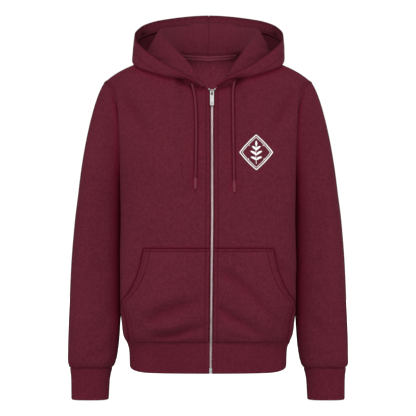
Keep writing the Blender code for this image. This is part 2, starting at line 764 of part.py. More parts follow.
def yoke_level(z):
    """Where on the centre front, between the underarm and the neckline, this height is."""
    low, high = 0.0, 1.0
    for _ in range(30):
        middle = (low + high) / 2
        if yoke_point("front", 0, middle)[2] < z:
            low = middle
        else:
            high = middle
    return (low + high) / 2


def make_zip(tape, metal):
    rows = [body_point("front", 1, 0, v)[2] for v in BODY_ROWS[1:]]
    heights = (HEM_BOTTOM + 0.0005, HEM_SEAM - SEAM_GAP, *rows)
    for name, side in SIDES.items():
        columns = [side * x for x in (0.0004, EDGE_TO_ZIP, TAPE_HALF)]
        cloth(f"zip_tape_{name}", zip_point, columns, heights, tape, -TAPE_DEPTH, TAPE)
    top = SLIDER_AT - SLIDER_LENGTH / 2 - 0.0006
    chain_heights = (CHAIN_FOOT, *[z for z in heights[1:] if z < top - 0.005], top)

    def chain(x, z):
        return zip_point(0.0, z) + np.array((x, 0, 0))

    columns = (-CHAIN_HALF, CHAIN_HALF)
    cloth("zip_chain", chain, columns, chain_heights, metal, 0.0002, FLEECE)


def zip_frame(z):
    """A frame on the centre front: x across, y up the zip and z out of the cloth."""
    h = 1e-4
    at = zip_point(0.0, z)
    up = zip_point(0.0, z + h) - at
    up[0] = 0
    up /= np.linalg.norm(up)
    out = np.cross((1, 0, 0), up)
    frame = Matrix.Identity(4)
    for column, axis in enumerate(((1, 0, 0), up, out, at)):
        for row in range(3):
            frame[row][column] = axis[row]
    return frame


def prism(name, outline, low, high, frame, material, axis="z"):
    """A solid that runs straight along one axis of a frame, through an outline in the other two."""
    order = {"x": (2, 0, 1), "y": (1, 2, 0), "z": (0, 1, 2)}[axis]
    shape = bmesh.new()
    ends = []
    for level in (low, high):
        corners = []
        for a, b in outline:
            local = (a, b, level)
            corners.append(shape.verts.new(frame @ Vector([local[i] for i in order])))
        ends.append(corners)
    shape.faces.new(ends[0])
    shape.faces.new(ends[1])
    count = len(outline)
    for i in range(count):
        k = (i + 1) % count
        shape.faces.new((ends[0][i], ends[0][k], ends[1][k], ends[1][i]))
    bmesh.ops.recalc_face_normals(shape, faces=shape.faces)
    mesh = bpy.data.meshes.new(name)
    shape.to_mesh(mesh)
    shape.free()
    return add_object(name, mesh, material)


def rounded(half_x, low_y, high_y, radius, steps=3):
    """A rectangle with round corners."""
    corners = []
    for centre_x, centre_y, start in (
        (half_x - radius, high_y - radius, 0),
        (-half_x + radius, high_y - radius, 90),
        (-half_x + radius, low_y + radius, 180),
        (half_x - radius, low_y + radius, 270),
    ):
        for n in range(steps + 1):
            turn = math.radians(start + 90 * n / steps)
            corners.append((centre_x + radius * math.cos(turn), centre_y + radius * math.sin(turn)))
    return corners


def unite(piece, others):
    """Joins the others to the piece with Boolean unions, and hides nothing behind."""
    for other in others:
        join = piece.modifiers.new("join_" + other.name, "BOOLEAN")
        join.operation = "UNION"
        join.object = other
        other.hide_render = True
        other.display_type = "WIRE"


def make_slider(metal):
    frame = zip_frame(SLIDER_AT)
    half = SLIDER_LENGTH / 2
    plate = prism(
        "zip_slider", rounded(SLIDER_HALF, -half, half, 0.002), 0.0012, SLIDER_FRONT, frame, metal
    )
    stem = rounded(CHAIN_HALF, 0.0006 - half, half - 0.0006, 0.0008)
    core = prism("slider_core", stem, -0.0018, 0.0020, frame, metal)
    foot = SLIDER_FRONT - 0.0004
    roof = SLIDER_FRONT + BAIL_ROOM
    arch = [
        (-0.0042, foot), (-0.0042, roof), (-0.0028, roof + 0.0013), (0.0028, roof + 0.0013),
        (0.0042, roof), (0.0042, foot), (0.0029, foot), (0.0029, roof - 0.0003),
        (0.0024, roof), (-0.0024, roof), (-0.0029, roof - 0.0003), (-0.0029, foot),
    ]
    bail = prism("slider_bail", arch, -BAIL_HALF, BAIL_HALF, frame, metal, axis="x")
    unite(plate, (core, bail))


def make_pull_tab(metal):
    """A flat tab whose eye goes through the slider's bail. It turns about the eye's bar."""
    frame = zip_frame(SLIDER_AT)
    pivot = frame @ Vector((0, -PIVOT_DOWN, PIVOT_OUT))
    swung = Matrix.Rotation(-TAB_REST, 4, "X")
    turning = Matrix.Translation(pivot) @ frame.to_3x3().to_4x4() @ swung
    half = TAB_THICK / 2
    tab = prism("pull_tab", rounded(TAB_HALF, -TAB_LENGTH, 0.0007, 0.0007), -half, half, turning, metal)
    slot = rounded(0.0020, -0.0007 - EYE_LENGTH, -0.0007, 0.0006)
    eye = prism("tab_eye", slot, -0.002, 0.002, turning, metal)
    round_hole = rounded(0.0013, HOLE_AT - 0.0018, HOLE_AT + 0.0018, 0.00129)
    hole = prism("tab_hole", round_hole, -0.002, 0.002, turning, metal)
    for cutter in (eye, hole):
        cut = tab.modifiers.new("cut_" + cutter.name, "BOOLEAN")
        cut.operation = "DIFFERENCE"
        cut.object = cutter
        cutter.hide_render = True
        cutter.display_type = "WIRE"
    tab.data.transform(Matrix.Translation(-pivot))
    tab.location = pivot


def make_stops(metal):
    frame = zip_frame(STOP_AT)
    for name, side in SIDES.items():
        outline = [(side * 0.0062 + x, y) for x, y in rounded(0.0012, -0.0020, 0.0020, 0.0004, 2)]
        prism(f"zip_stop_{name}", outline, 0.0006, 0.0024, frame, metal)
    low = zip_frame(BOX_AT)
    prism("zip_box", rounded(0.0028, -0.0058, 0.0060, 0.0006, 2), -0.0019, 0.0012, low, metal)


# ---------------------------------------------------------------- cords


def curve_points(points, count):
    """Points read from a smooth curve through the route's own points."""
    line = np.array(points)
    knots = np.concatenate([[0], np.cumsum(np.linalg.norm(np.diff(line, axis=0), axis=1))])
    wanted = np.linspace(0, knots[-1], count)
    return [[smooth(knots, line[:, axis], at) for axis in range(3)] for at in wanted]


def tube(name, points, radius, material, resolution=2):
    data = bpy.data.curves.new(name, "CURVE")
    data.dimensions = "3D"
    data.bevel_depth = radius
    data.bevel_resolution = resolution
    data.use_fill_caps = True
    spline = data.splines.new("POLY")
    spline.points.add(len(points) - 1)
    for target, point in zip(spline.points, points):
        target.co = (*point, 1)
    data.materials.append(material)
    piece = bpy.data.objects.new(name, data)
    bpy.context.scene.collection.objects.link(piece)
    return piece


def make_cords(material):
    for name, route in CORD_ROUTES.items():
        points = curve_points(route, 22)
        tube(f"drawcord_{name}", points, CORD_RADIUS, material)
        end = np.array(points[-1])
        along = end - np.array(points[-2])
        along /= np.linalg.norm(along)
        tip = [end + along * (LAID_GAP + TIP_LENGTH * share) for share in (0.0, 0.5, 1.0)]
        tube(f"cord_tip_{name}", tip, TIP_RADIUS, material)


# ---------------------------------------------------------------- the garment


def clear_scene():
    for piece in list(bpy.data.objects):
        bpy.data.objects.remove(piece, do_unlink=True)


def make_materials():
    made = {}
    for name, (colour, roughness, metallic) in COLOURS.items():
        material = bpy.data.materials.new(name)
        material.use_nodes = True
        shader = material.node_tree.nodes["Principled BSDF"]
        shader.inputs["Base Color"].default_value = colour
        shader.inputs["Roughness"].default_value = roughness
        shader.inputs["Metallic"].default_value = metallic
        material.diffuse_color = colour
        made[name] = material
    return made


def main():
    clear_scene()
    made = make_materials()
    make_fronts(made["fleece"])
    make_back(made["fleece"])
    make_neck_tape(made["tape"])
    make_sleeves(made["fleece"])
    make_hood(made["fleece"])
    make_pockets(made["fleece"])
    make_hem(made["rib"])
    make_cuffs(made["rib"])
    make_zip(made["tape"], made["metal"])
    make_slider(made["metal"])
    make_pull_tab(made["metal"])
    make_stops(made["metal"])
    make_cords(made["cord"])


main()
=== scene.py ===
# %% [markdown]
# # A zip-up fleece hoodie
# The garment is filled out as if somebody wore it, with its hood lying back in a roll.
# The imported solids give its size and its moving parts. This lesson puts sewn cloth, ribbing,
# a metal zip and soft light round them, one piece of the garment at a time.

import math

import bmesh
import bpy
import numpy as np
from mathutils import Matrix, Vector
from mathutils.bvhtree import BVHTree


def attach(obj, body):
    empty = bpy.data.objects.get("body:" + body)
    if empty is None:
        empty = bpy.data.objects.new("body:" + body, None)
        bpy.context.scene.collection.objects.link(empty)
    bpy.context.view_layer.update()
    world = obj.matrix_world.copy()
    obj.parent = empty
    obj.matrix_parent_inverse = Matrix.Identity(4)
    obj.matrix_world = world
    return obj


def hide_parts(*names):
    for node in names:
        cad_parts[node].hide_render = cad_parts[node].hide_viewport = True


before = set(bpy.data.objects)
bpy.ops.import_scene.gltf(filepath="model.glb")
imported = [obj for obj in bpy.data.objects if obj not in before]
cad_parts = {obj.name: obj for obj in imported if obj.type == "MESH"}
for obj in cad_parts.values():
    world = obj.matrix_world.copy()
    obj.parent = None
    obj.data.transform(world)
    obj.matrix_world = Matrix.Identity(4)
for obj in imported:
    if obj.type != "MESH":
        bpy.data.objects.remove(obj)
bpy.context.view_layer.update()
bpy.ops.object.select_all(action="DESELECT")

# %% [markdown]
# ## Camera
# A long lens from four metres away keeps the garment's sides straight, as in a shop picture.
# The camera looks level along +Y at the middle of the garment, so nothing leans.

# %% Camera
EYE_HEIGHT = -0.339
EYE_DISTANCE = 4.0
LENS_MM = 157.3
SENSOR_MM = 36
FURTHEST_SEEN = 60

bpy.ops.object.camera_add(
    location=(0, -EYE_DISTANCE, EYE_HEIGHT), rotation=(math.pi / 2, 0, 0)
)
camera = bpy.context.object
camera.name = "camera"
camera.data.lens = LENS_MM
camera.data.sensor_width = SENSOR_MM
camera.data.clip_end = FURTHEST_SEEN
bpy.context.scene.camera = camera
print("lens in mm:", camera.data.lens)

# %% [markdown]
# ## Curves through a few points
# A tailor's pattern is a few measured widths joined by a smooth line. The same idea draws
# every shape here: a small table of sizes, and a cubic curve that passes through each row
# and never swings past it.

# %% Smooth curves through tables


def table(names, *rows):
    """A small table as one array for each named column."""
    return dict(zip(names.split(), np.array(rows, float).T))


def slopes_of(knots, values):
    steps = np.diff(knots)
    rises = np.diff(values) / steps
    slopes = np.zeros(len(values))
    for i in range(1, len(values) - 1):
        if rises[i - 1] * rises[i] > 0:
            near = 2 * steps[i] + steps[i - 1]
            far = steps[i] + 2 * steps[i - 1]
            slopes[i] = (near + far) / (near / rises[i - 1] + far / rises[i])
    slopes[0], slopes[-1] = rises[0], rises[-1]
    return slopes


def smooth(knots, values, at):
    """The smooth curve through a table's column, read at many places at once."""
    knots, values, at = np.asarray(knots), np.asarray(values), np.asarray(at, float)
    slopes = slopes_of(knots, values)
    i = np.clip(np.searchsorted(knots, at) - 1, 0, len(knots) - 2)
    step = knots[i + 1] - knots[i]
    t = ramp(at, knots[i], step)
    return (
        (2 * t**3 - 3 * t**2 + 1) * values[i]
        + (t**3 - 2 * t**2 + t) * step * slopes[i]
        + (3 * t**2 - 2 * t**3) * values[i + 1]
        + (t**3 - t**2) * step * slopes[i + 1]
    )


def ramp(value, start, reach):
    """0 up to start, 1 from start + reach on, and a straight slope between."""
    return np.clip((value - start) / reach, 0, 1)


def bell(value, width):
    """1 where a value is 0, and softly less on both sides of it."""
    return np.exp(-((value / width) ** 2))


def unit(vectors):
    return vectors / np.maximum(np.linalg.norm(vectors, axis=-1, keepdims=True), 1e-9)


def lengths_along(line):
    """How far along a line each of its points is."""
    steps = np.linalg.norm(np.diff(line, axis=0), axis=1)
    return np.concatenate([[0], np.cumsum(steps)])


def spaced(line, count):
    """The same line as count points at even distances."""
    along = lengths_along(line)
    wanted = np.linspace(0, along[-1], count)
    return np.stack([np.interp(wanted, along, line[:, axis]) for axis in range(3)], axis=1)


print("half way through a hump:", round(float(smooth((0, 1, 2), (0, 1, 0), 0.5)), 3))

# %% [markdown]
# ## Meshes from grids and sweeps
# Cloth is a grid of points with a second grid under it. Cords, beads and threads are a small
# outline carried along a line. Both are written straight into a mesh, and both are closed, so
# that light and shade behave as on a real thickness.

# %% Grid and sweep helpers
PIECES = []


def add_mesh(name, points, faces, material, uv=None):
    """A new object at the origin, smooth shaded, that rides on the garment."""
    mesh = bpy.data.meshes.new(name)
    mesh.from_pydata(np.asarray(points).reshape(-1, 3).tolist(), [], faces)
    mesh.materials.append(material)
    if uv is not None:
        layer = mesh.uv_layers.new(name="cloth")
        corners = np.zeros(len(mesh.loops), np.int32)
        mesh.loops.foreach_get("vertex_index", corners)
        layer.data.foreach_set("uv", np.asarray(uv, np.float32)[corners].ravel())
    mesh.shade_smooth()
    piece = bpy.data.objects.new(name, mesh)
    bpy.context.scene.collection.objects.link(piece)
    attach(piece, "garment")
    PIECES.append(piece)
    return piece


def face_outward(piece):
    """Turns the faces of a closed mesh to its outside."""
    shape = bmesh.new()
    shape.from_mesh(piece.data)
    bmesh.ops.recalc_face_normals(shape, faces=shape.faces)
    shape.to_mesh(piece.data)
    shape.free()


def sweep(name, line, normals, profile, material, closed=False, swell=None):
    """Carries a small outline of (across, up) pairs along a line on a surface."""
    line, normals = np.asarray(line, float), unit(np.asarray(normals, float))
    if closed:
        tangents = unit(np.roll(line, -1, axis=0) - np.roll(line, 1, axis=0))
    else:
        tangents = unit(np.gradient(line, axis=0))
    across = unit(np.cross(tangents, normals))
    up = unit(np.cross(across, tangents))
    profile = np.asarray(profile, float)
    scale = np.ones(len(line)) if swell is None else np.asarray(swell)
    rings = (
        line[:, None]
        + across[:, None] * (profile[None, :, 0] * scale[:, None])[..., None]
        + up[:, None] * profile[None, :, 1, None]
    )
    count, sides = len(line), len(profile)
    faces = []
    for i in range(count if closed else count - 1):
        a, b = i * sides, (i + 1) % count * sides
        for k in range(sides):
            n = (k + 1) % sides
            faces.append((a + k, b + k, b + n, a + n))
    if not closed:
        faces.append(tuple(range(sides)))
        faces.append(tuple(reversed(range((count - 1) * sides, count * sides))))
    along = lengths_along(line)
    turn = np.linspace(0, 1, sides, endpoint=False)
    uv = np.stack(np.meshgrid(turn, along * 10), axis=-1).reshape(-1, 2)
    piece = add_mesh(name, rings, faces, material, uv)
    face_outward(piece)
    return piece


def round_outline(half_width, half_height, sides=10):
    turns = np.linspace(0, 2 * math.pi, sides, endpoint=False)
    return np.stack([half_width * np.cos(turns), half_height * np.sin(turns)], axis=1)


print("a round outline has", len(round_outline(1, 1)), "points")

# %% [markdown]
# ## Finishes
# Sweatshirt fleece has fine upright columns of stitches on its face, a soft sheen at
# grazing angles and a slightly uneven dye. Rib knit is denser, tape is woven on the slant,
# and the zip is satin metal. Each finish is a few noise and wave textures on a plain shader.

# %% Finish helpers


def new_material(name, colour, roughness, metallic=0.0):
    material = bpy.data.materials.new(name)
    material.use_nodes = True
    shader = material.node_tree.nodes["Principled BSDF"]
    shader.inputs["Base Color"].default_value = (*colour, 1)
    shader.inputs["Roughness"].default_value = roughness
    shader.inputs["Metallic"].default_value = metallic
    return material, shader


def add_node(material, kind, **settings):
    node = material.node_tree.nodes.new(kind)
    for key, value in settings.items():
        if key in node.inputs:
            node.inputs[key].default_value = value
        else:
            setattr(node, key, value)
    return node


def link(material, source, target):
    material.node_tree.links.new(source, target)


def texture(material, kind, where, **settings):
    """A texture on a piece's own coordinates: "UV" follows the cloth, "Object" fills space."""
    place = add_node(material, "ShaderNodeTexCoord")
    pattern = add_node(material, kind, **settings)
    link(material, place.outputs[where], pattern.inputs["Vector"])
    return pattern


def mixed_colour(material, dark, light, amount):
    mix = add_node(material, "ShaderNodeMix", data_type="RGBA")
    mix.inputs[6].default_value = (*dark, 1)
    mix.inputs[7].default_value = (*light, 1)
    link(material, amount, mix.inputs[0])
    return mix.outputs[2]


def spread(material, value, low, high):
    """Stretches a texture's value so that low becomes 0 and high becomes 1."""
    ranged = add_node(material, "ShaderNodeMapRange")
    ranged.inputs["From Min"].default_value = low
    ranged.inputs["From Max"].default_value = high
    link(material, value, ranged.inputs["Value"])
    return ranged.outputs["Result"]


def add_heights(material, *heights):
    """The sum of several (texture value, height) pairs."""
    total = None
    for value, height in heights:
        times = add_node(material, "ShaderNodeMath", operation="MULTIPLY")
        times.inputs[1].default_value = height
        link(material, value, times.inputs[0])
        if total is None:
            total = times.outputs[0]
            continue
        plus = add_node(material, "ShaderNodeMath", operation="ADD")
        link(material, total, plus.inputs[0])
        link(material, times.outputs[0], plus.inputs[1])
        total = plus.outputs[0]
    return total


def speckle(material, shader, value, colour, share, low, high):
    """A colour that falls to a share of itself where a texture's value is low."""
    dark = [share * c for c in colour]
    mix = mixed_colour(material, dark, colour, spread(material, value, low, high))
    link(material, mix, shader.inputs["Base Color"])


def raise_surface(material, shader, height, strength, distance):
    bump = add_node(material, "ShaderNodeBump", Strength=strength, Distance=distance)
    link(material, height, bump.inputs["Height"])
    link(material, bump.outputs["Normal"], shader.inputs["Normal"])


print("finish helpers are ready")

# %% [markdown]
# ### Knitted cloth
# The knit's columns run up the garment, a millimetre apart, so they read the cloth's own UV
# map, in tenths of a metre. Fuzz and dye are the same in every direction, so they read the
# object's own space. Sheen stands for the fine hairs that catch light at the edge of a fold.
# Two numbers on each fleece panel, "hollow_shade" and "line_shade", paint shade into its
# colour. Where cloth faces cloth the tint lifts red and cuts green and blue, partly painted
# light and partly painted shade. Along seams, stitches, cords and pocket edges it is a painted
# dark line. They are worked out further down, and a piece without them keeps its plain colour.

# %% Fleece, rib and tape
WAVE_PITCH = 0.0314  # a wave of scale 1 repeats every 0.314 tenths of a metre
BURGUNDY_DARK = (0.081, 0.0092, 0.0192)
BURGUNDY_LIGHT = (0.128, 0.0178, 0.0330)
# Painted shade tints: the first where cloth faces cloth, lifting red and cutting green and blue;
# the second a painted dark line along seams, stitches and cords
PAINTED_HOLLOW_SHADE = (1.62, 0.16, 0.82)  # what each colour is multiplied by where cloth faces cloth
PAINTED_LINE_SHADE = (0.52, 0.10, 0.28)  # and along a seam, a stitch or a cord
SHEEN_TINT = (1.0, 0.30, 0.42)


def knit(name, dark, light, column_pitch, column_height, fuzz, sheen):
    material, shader = new_material(name, light, 0.95)
    noise, wave = "ShaderNodeTexNoise", "ShaderNodeTexWave"
    fine = texture(material, noise, "Object", Scale=520.0, Detail=3.0, Roughness=0.8)
    dye = texture(material, noise, "Object", Scale=170.0, Detail=3.0, Roughness=0.6)
    cloud = texture(material, noise, "Object", Scale=7.0, Detail=2.0)
    columns = texture(
        material, wave, "UV", wave_type="BANDS", bands_direction="X",
        Scale=WAVE_PITCH / column_pitch, Distortion=0.6, Detail=1.0,
    )
    columns.inputs["Detail Scale"].default_value = 3.0
    rows = texture(
        material, wave, "UV", wave_type="BANDS", bands_direction="Y",
        Scale=WAVE_PITCH / (0.8 * column_pitch), Distortion=0.8, Detail=1.0,
    )
    amount = add_heights(
        material,
        (fine.outputs["Fac"], 0.66), (dye.outputs["Fac"], 0.24), (cloud.outputs["Fac"], 0.10),
    )
    colour = mixed_colour(material, dark, light, spread(material, amount, 0.425, 0.575))
    # Paint shade into the colour from the two attributes, hollow_shade and line_shade
    for attribute, kept in (("hollow_shade", PAINTED_HOLLOW_SHADE), ("line_shade", PAINTED_LINE_SHADE)):
        amount = add_node(material, "ShaderNodeAttribute", attribute_name=attribute)
        tinted = [share * c for share, c in zip(kept, light)]
        shaded = mixed_colour(material, light, tinted, amount.outputs["Fac"])
        link(material, colour, shaded.node.inputs[6])
        colour = shaded
    link(material, colour, shader.inputs["Base Color"])
    height = add_heights(
        material,
        (columns.outputs["Fac"], column_height),
        (rows.outputs["Fac"], column_height * 0.5),
        (fine.outputs["Fac"], fuzz),
    )
    raise_surface(material, shader, height, 0.5, 0.0006)
    shader.inputs["Sheen Weight"].default_value = sheen
    shader.inputs["Sheen Roughness"].default_value = 0.45
    shader.inputs["Sheen Tint"].default_value = (*SHEEN_TINT, 1)
    shader.inputs["Specular IOR Level"].default_value = 0.04
    return material


KNITS = {}
for name, *settings in (  # dark and light colour, column pitch and height, fuzz, sheen
    ("fleece", BURGUNDY_DARK, BURGUNDY_LIGHT, 0.0011, 0.5, 0.8, 0.025),
    ("rib", (0.079, 0.0078, 0.0174), (0.120, 0.0142, 0.0288), 0.0010, 0.4, 0.7, 0.025),
    ("tape", (0.110, 0.0150, 0.0290), (0.160, 0.0250, 0.0450), 0.0009, 0.9, 0.3, 0.05),
    ("neck_tape", (0.140, 0.0220, 0.0390), (0.195, 0.0370, 0.0590), 0.0012, 1.0, 0.3, 0.06),
    ("thread", (0.118, 0.0140, 0.0280), (0.170, 0.0250, 0.0450), 0.0006, 0.6, 0.3, 0.05),
    ("tip_wrap", (0.150, 0.0250, 0.0430), (0.215, 0.0460, 0.0700), 0.0008, 0.8, 0.3, 0.08),
):
    KNITS[name] = knit(name, *settings)
fleece, rib, tape, neck_tape, thread, tip_wrap = KNITS.values()
print("knitted finishes:", list(KNITS))

# %% [markdown]
# ### Cord, metal and print
# The cord's braid is two slanted waves that cross round it. The zip's metal is a little uneven
# in gloss, and the print is a thin matt ink that follows the cloth.

# %% Cord, metal and print finishes


def braid(name, dark, light):
    material, shader = new_material(name, light, 0.9)
    waves = []
    for slant in (1, -1):
        turned = add_node(material, "ShaderNodeMapping", Scale=(2.0, 1.6, 1.0))
        turned.inputs["Rotation"].default_value = (0, 0, slant * math.radians(38))
        place = add_node(material, "ShaderNodeTexCoord")
        link(material, place.outputs["UV"], turned.inputs["Vector"])
        wave = add_node(material, "ShaderNodeTexWave", Scale=6.0, Distortion=0.2)
        link(material, turned.outputs["Vector"], wave.inputs["Vector"])
        waves.append(wave.outputs["Fac"])
    height = add_heights(material, (waves[0], 0.5), (waves[1], 0.5))
    link(material, mixed_colour(material, dark, light, height), shader.inputs["Base Color"])
    raise_surface(material, shader, height, 0.6, 0.0005)
    shader.inputs["Specular IOR Level"].default_value = 0.06
    shader.inputs["Sheen Weight"].default_value = 0.02
    shader.inputs["Sheen Tint"].default_value = (*SHEEN_TINT, 1)
    return material


def satin_metal(name, colour, roughness):
    material, shader = new_material(name, colour, roughness, 1.0)
    grain = texture(material, "ShaderNodeTexNoise", "Object", Scale=260.0, Detail=4.0)
    gloss = add_heights(material, (grain.outputs["Fac"], 0.25))
    plus = add_node(material, "ShaderNodeMath", operation="ADD")
    plus.inputs[1].default_value = roughness - 0.12
    link(material, gloss, plus.inputs[0])
    link(material, plus.outputs[0], shader.inputs["Roughness"])
    speckle(material, shader, grain.outputs["Fac"], colour, 0.82, 0.35, 0.6)
    raise_surface(material, shader, grain.outputs["Fac"], 0.15, 0.0002)
    return material


def ink(name, colour):
    material, shader = new_material(name, colour, 0.7)
    crackle = texture(material, "ShaderNodeTexNoise", "Object", Scale=700.0, Detail=2.0)
    speckle(material, shader, crackle.outputs["Fac"], colour, 0.86, 0.3, 0.5)
    raise_surface(material, shader, crackle.outputs["Fac"], 0.2, 0.0003)
    return material


cord_braid = braid("cord_braid", (0.104, 0.0130, 0.0270), (0.170, 0.0270, 0.0480))
nickel = satin_metal("nickel", (0.45, 0.44, 0.44), 0.50)
slider_metal = satin_metal("slider_metal", (0.29, 0.28, 0.28), 0.42)
tooth_metal = satin_metal("tooth_metal", (0.70, 0.56, 0.59), 0.42)
white_ink = ink("white_ink", (0.93, 0.91, 0.91))
print("other finishes:", [m.name for m in (cord_braid, nickel, slider_metal, white_ink)])

# %% [markdown]
# ## Drawcords
# Each cord is a round braid, 4.2 mm thick, that comes out from under the hood's edge and
# hangs down the chest. It is limp, so it follows the cloth on one long, easy curve and ends
# in a stitched tip. Its points are spaced every few millimetres, so the length can be measured.

# %% Cords and tips
CORD_RADIUS = 0.0021
TIP_RADIUS = 0.0029
TIP_LENGTH = 0.024
TIP_GAP = 0.0004
TIP_RINGS = 25
TIP_NECK = 0.82
TIP_END = 0.86
WRAP_DEPTH = 0.035
CORD_ROUTES = {
    "right": (
        (-0.0352, -0.0840, -0.0722),
        (-0.0325, -0.0880, -0.0800),
        (-0.0300, -0.0935, -0.0905),
        (-0.0282, -0.0985, -0.1020),
        (-0.0270, -0.1050, -0.1170),
        (-0.0255, -0.1160, -0.1450),
        (-0.0250, -0.1230, -0.1750),
        (-0.0255, -0.1280, -0.2100),
        (-0.0262, -0.1305, -0.2450),
        (-0.0267, -0.1320, -0.2740),
    ),
    "left": (
        (0.0575, -0.0815, -0.0668),
        (0.0550, -0.0865, -0.0770),
        (0.0537, -0.0925, -0.0900),
        (0.0533, -0.0975, -0.1040),
        (0.0535, -0.1040, -0.1200),
        (0.0538, -0.1140, -0.1480),
        (0.0540, -0.1210, -0.1800),
        (0.0545, -0.1270, -0.2150),
        (0.0550, -0.1300, -0.2500),
        (0.0555, -0.1318, -0.2800),
    ),
}
FORWARD = np.array((0, -1.0, 0))


def cord_line(route, count):
    """A smooth line through a cord's points."""
    points = np.array(route)
    knots = lengths_along(points)
    at = np.linspace(0, knots[-1], 300)
    dense = np.stack([smooth(knots, points[:, axis], at) for axis in range(3)], axis=1)
    return spaced(dense, count)


for side, route in CORD_ROUTES.items():
    line = cord_line(route, 70)
    normals = np.tile(FORWARD, (len(line), 1))
    outline = round_outline(CORD_RADIUS, CORD_RADIUS, 14)
    drawcord = sweep(f"drawcord_braid_{side}", line, normals, outline, cord_braid)
    along = unit(line[-1] - line[-2])
    down = np.linspace(0, 1, TIP_RINGS)
    centres = line[-1] + along * (TIP_GAP + TIP_LENGTH * down)[:, None]
    bulge = np.sin(np.linspace(0.25, math.pi - 0.35, TIP_RINGS)) ** 0.5
    swell = TIP_NECK + (1 - TIP_NECK) * bulge
    wraps = swell * (1 + WRAP_DEPTH * np.cos(np.arange(TIP_RINGS) * math.pi))
    wraps[[0, -1]] *= TIP_END
    tip = sweep(
        f"cord_tip_wrap_{side}", centres, np.tile(FORWARD, (TIP_RINGS, 1)),
        round_outline(TIP_RADIUS, TIP_RADIUS, 16), tip_wrap, swell=wraps,
    )
    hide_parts(f"drawcord_{side}")
    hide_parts(f"cord_tip_{side}")
    length = float(lengths_along(line)[-1])
    print(f"cord {side}: {length:.3f} m free")

# %% [markdown]
# ## The body's surface
# Below the arms the body is a stack of level outlines, each a rounded front, a soft fold
# beside the arm and a side seam. Above them every point climbs one curve to the neckline or
# the shoulder seam. The places are told by "u", 0 at the centre and 1 at the side seam, and
# "v", 0 at the hem seam, 1 at the underarm and 2 at the top.

# %% Body sizes
SIDES = {"right": -1, "left": 1}
HEM_BOTTOM = -0.6935
HEM_SEAM = -0.6252
SEAM_DIP = 0.0045
UNDERARM = -0.285
RIDGE = 0.8
SQUARENESS = 2.6
SIDE_SEAM_Y = 0.008
ARM_TUCK = 0.006
ZIP_LEAN = ((-0.6935, 0.0055), (-0.36, 0.0090), (-0.08, 0.0086))
LEAN_DEPTH = 0.07
EDGE_TO_ZIP = 0.0036

TORSO = table(
    "height  side    front   front_ridge back    back_ridge",
    (-0.6935, 0.1700, 0.1185, 0.036, 0.1120, 0.046),
    (-0.650, 0.1715, 0.1205, 0.037, 0.1130, 0.047),
    (-0.636, 0.1745, 0.1210, 0.039, 0.1140, 0.048),
    (-0.6252, 0.1806, 0.1218, 0.042, 0.1160, 0.051),
    (-0.612, 0.1848, 0.1275, 0.046, 0.1205, 0.055),
    (-0.590, 0.1875, 0.1320, 0.048, 0.1240, 0.059),
    (-0.560, 0.1900, 0.1345, 0.050, 0.1250, 0.060),
    (-0.450, 0.1910, 0.1340, 0.050, 0.1220, 0.060),
    (-0.360, 0.1895, 0.1310, 0.052, 0.1220, 0.062),
    (-0.285, 0.1905, 0.1270, 0.054, 0.1260, 0.064),
)
YOKE_COLUMNS = "out     x1      y1      z1      x2      y2      z2      end_x   end_y   end_z"
YOKES = {
    "front": table(
        YOKE_COLUMNS,
        (0.0000, 0.0000, -0.124, -0.215, 0.0000, -0.100, -0.1200, 0.0000, -0.074, -0.0815),
        (0.0560, 0.0560, -0.120, -0.205, 0.0560, -0.092, -0.0980, 0.0560, -0.056, -0.0650),
        (0.0830, 0.0830, -0.117, -0.200, 0.0830, -0.068, 0.00200, 0.0830, 0.0100, 0.00500),
        (0.1570, 0.1570, -0.104, -0.205, 0.1560, -0.068, -0.0200, 0.1560, 0.0080, -0.0200),
        (0.1905, 0.1895, -0.078, -0.215, 0.1990, -0.072, -0.0450, 0.2030, 0.0040, -0.0432),
        (0.0000, 0.1660, -0.060, -0.240, 0.1920, -0.068, -0.0760, 0.2280, 0.0000, -0.0612),
    ),
    "back": table(
        YOKE_COLUMNS,
        (0.0000, 0.0000, 0.1280, -0.190, 0.0000, 0.1180, -0.0450, 0.0000, 0.0800, 0.00400),
        (0.0560, 0.0560, 0.1260, -0.190, 0.0540, 0.1080, -0.0350, 0.0500, 0.0660, 0.00550),
        (0.0830, 0.0830, 0.1230, -0.185, 0.0830, 0.0800, 0.00300, 0.0830, 0.0100, 0.00500),
        (0.1570, 0.1570, 0.1100, -0.190, 0.1560, 0.0750, -0.0200, 0.1560, 0.0080, -0.0200),
        (0.1905, 0.1900, 0.0850, -0.200, 0.1990, 0.0720, -0.0440, 0.2030, 0.0040, -0.0432),
        (0.0000, 0.1700, 0.0700, -0.235, 0.1950, 0.0660, -0.0750, 0.2280, 0.0000, -0.0612),
    ),
}
NECK_SIDE = 2
print("body heights:", len(TORSO["height"]), "yoke columns:", len(YOKES["front"]["out"]))

# %% Points of the body


def torso_size(column, z):
    return smooth(TORSO["height"], TORSO[column], z)


def lean(x, y, z):
    """The fronts and the hood lean with the zip, less towards the sides and the shoulders."""
    heights, offsets = zip(*ZIP_LEAN)
    across = np.maximum(1 - np.abs(x) / torso_size("side", UNDERARM), 0) ** 1.5
    return np.interp(z, heights, offsets) * across * ramp(-y, 0, LEAN_DEPTH)


def round_of(out):
    """Where round the body a column at this distance from the centre lies."""
    return RIDGE * np.arcsin(np.minimum(out / torso_size("side", UNDERARM), 1)) / (math.pi / 2)


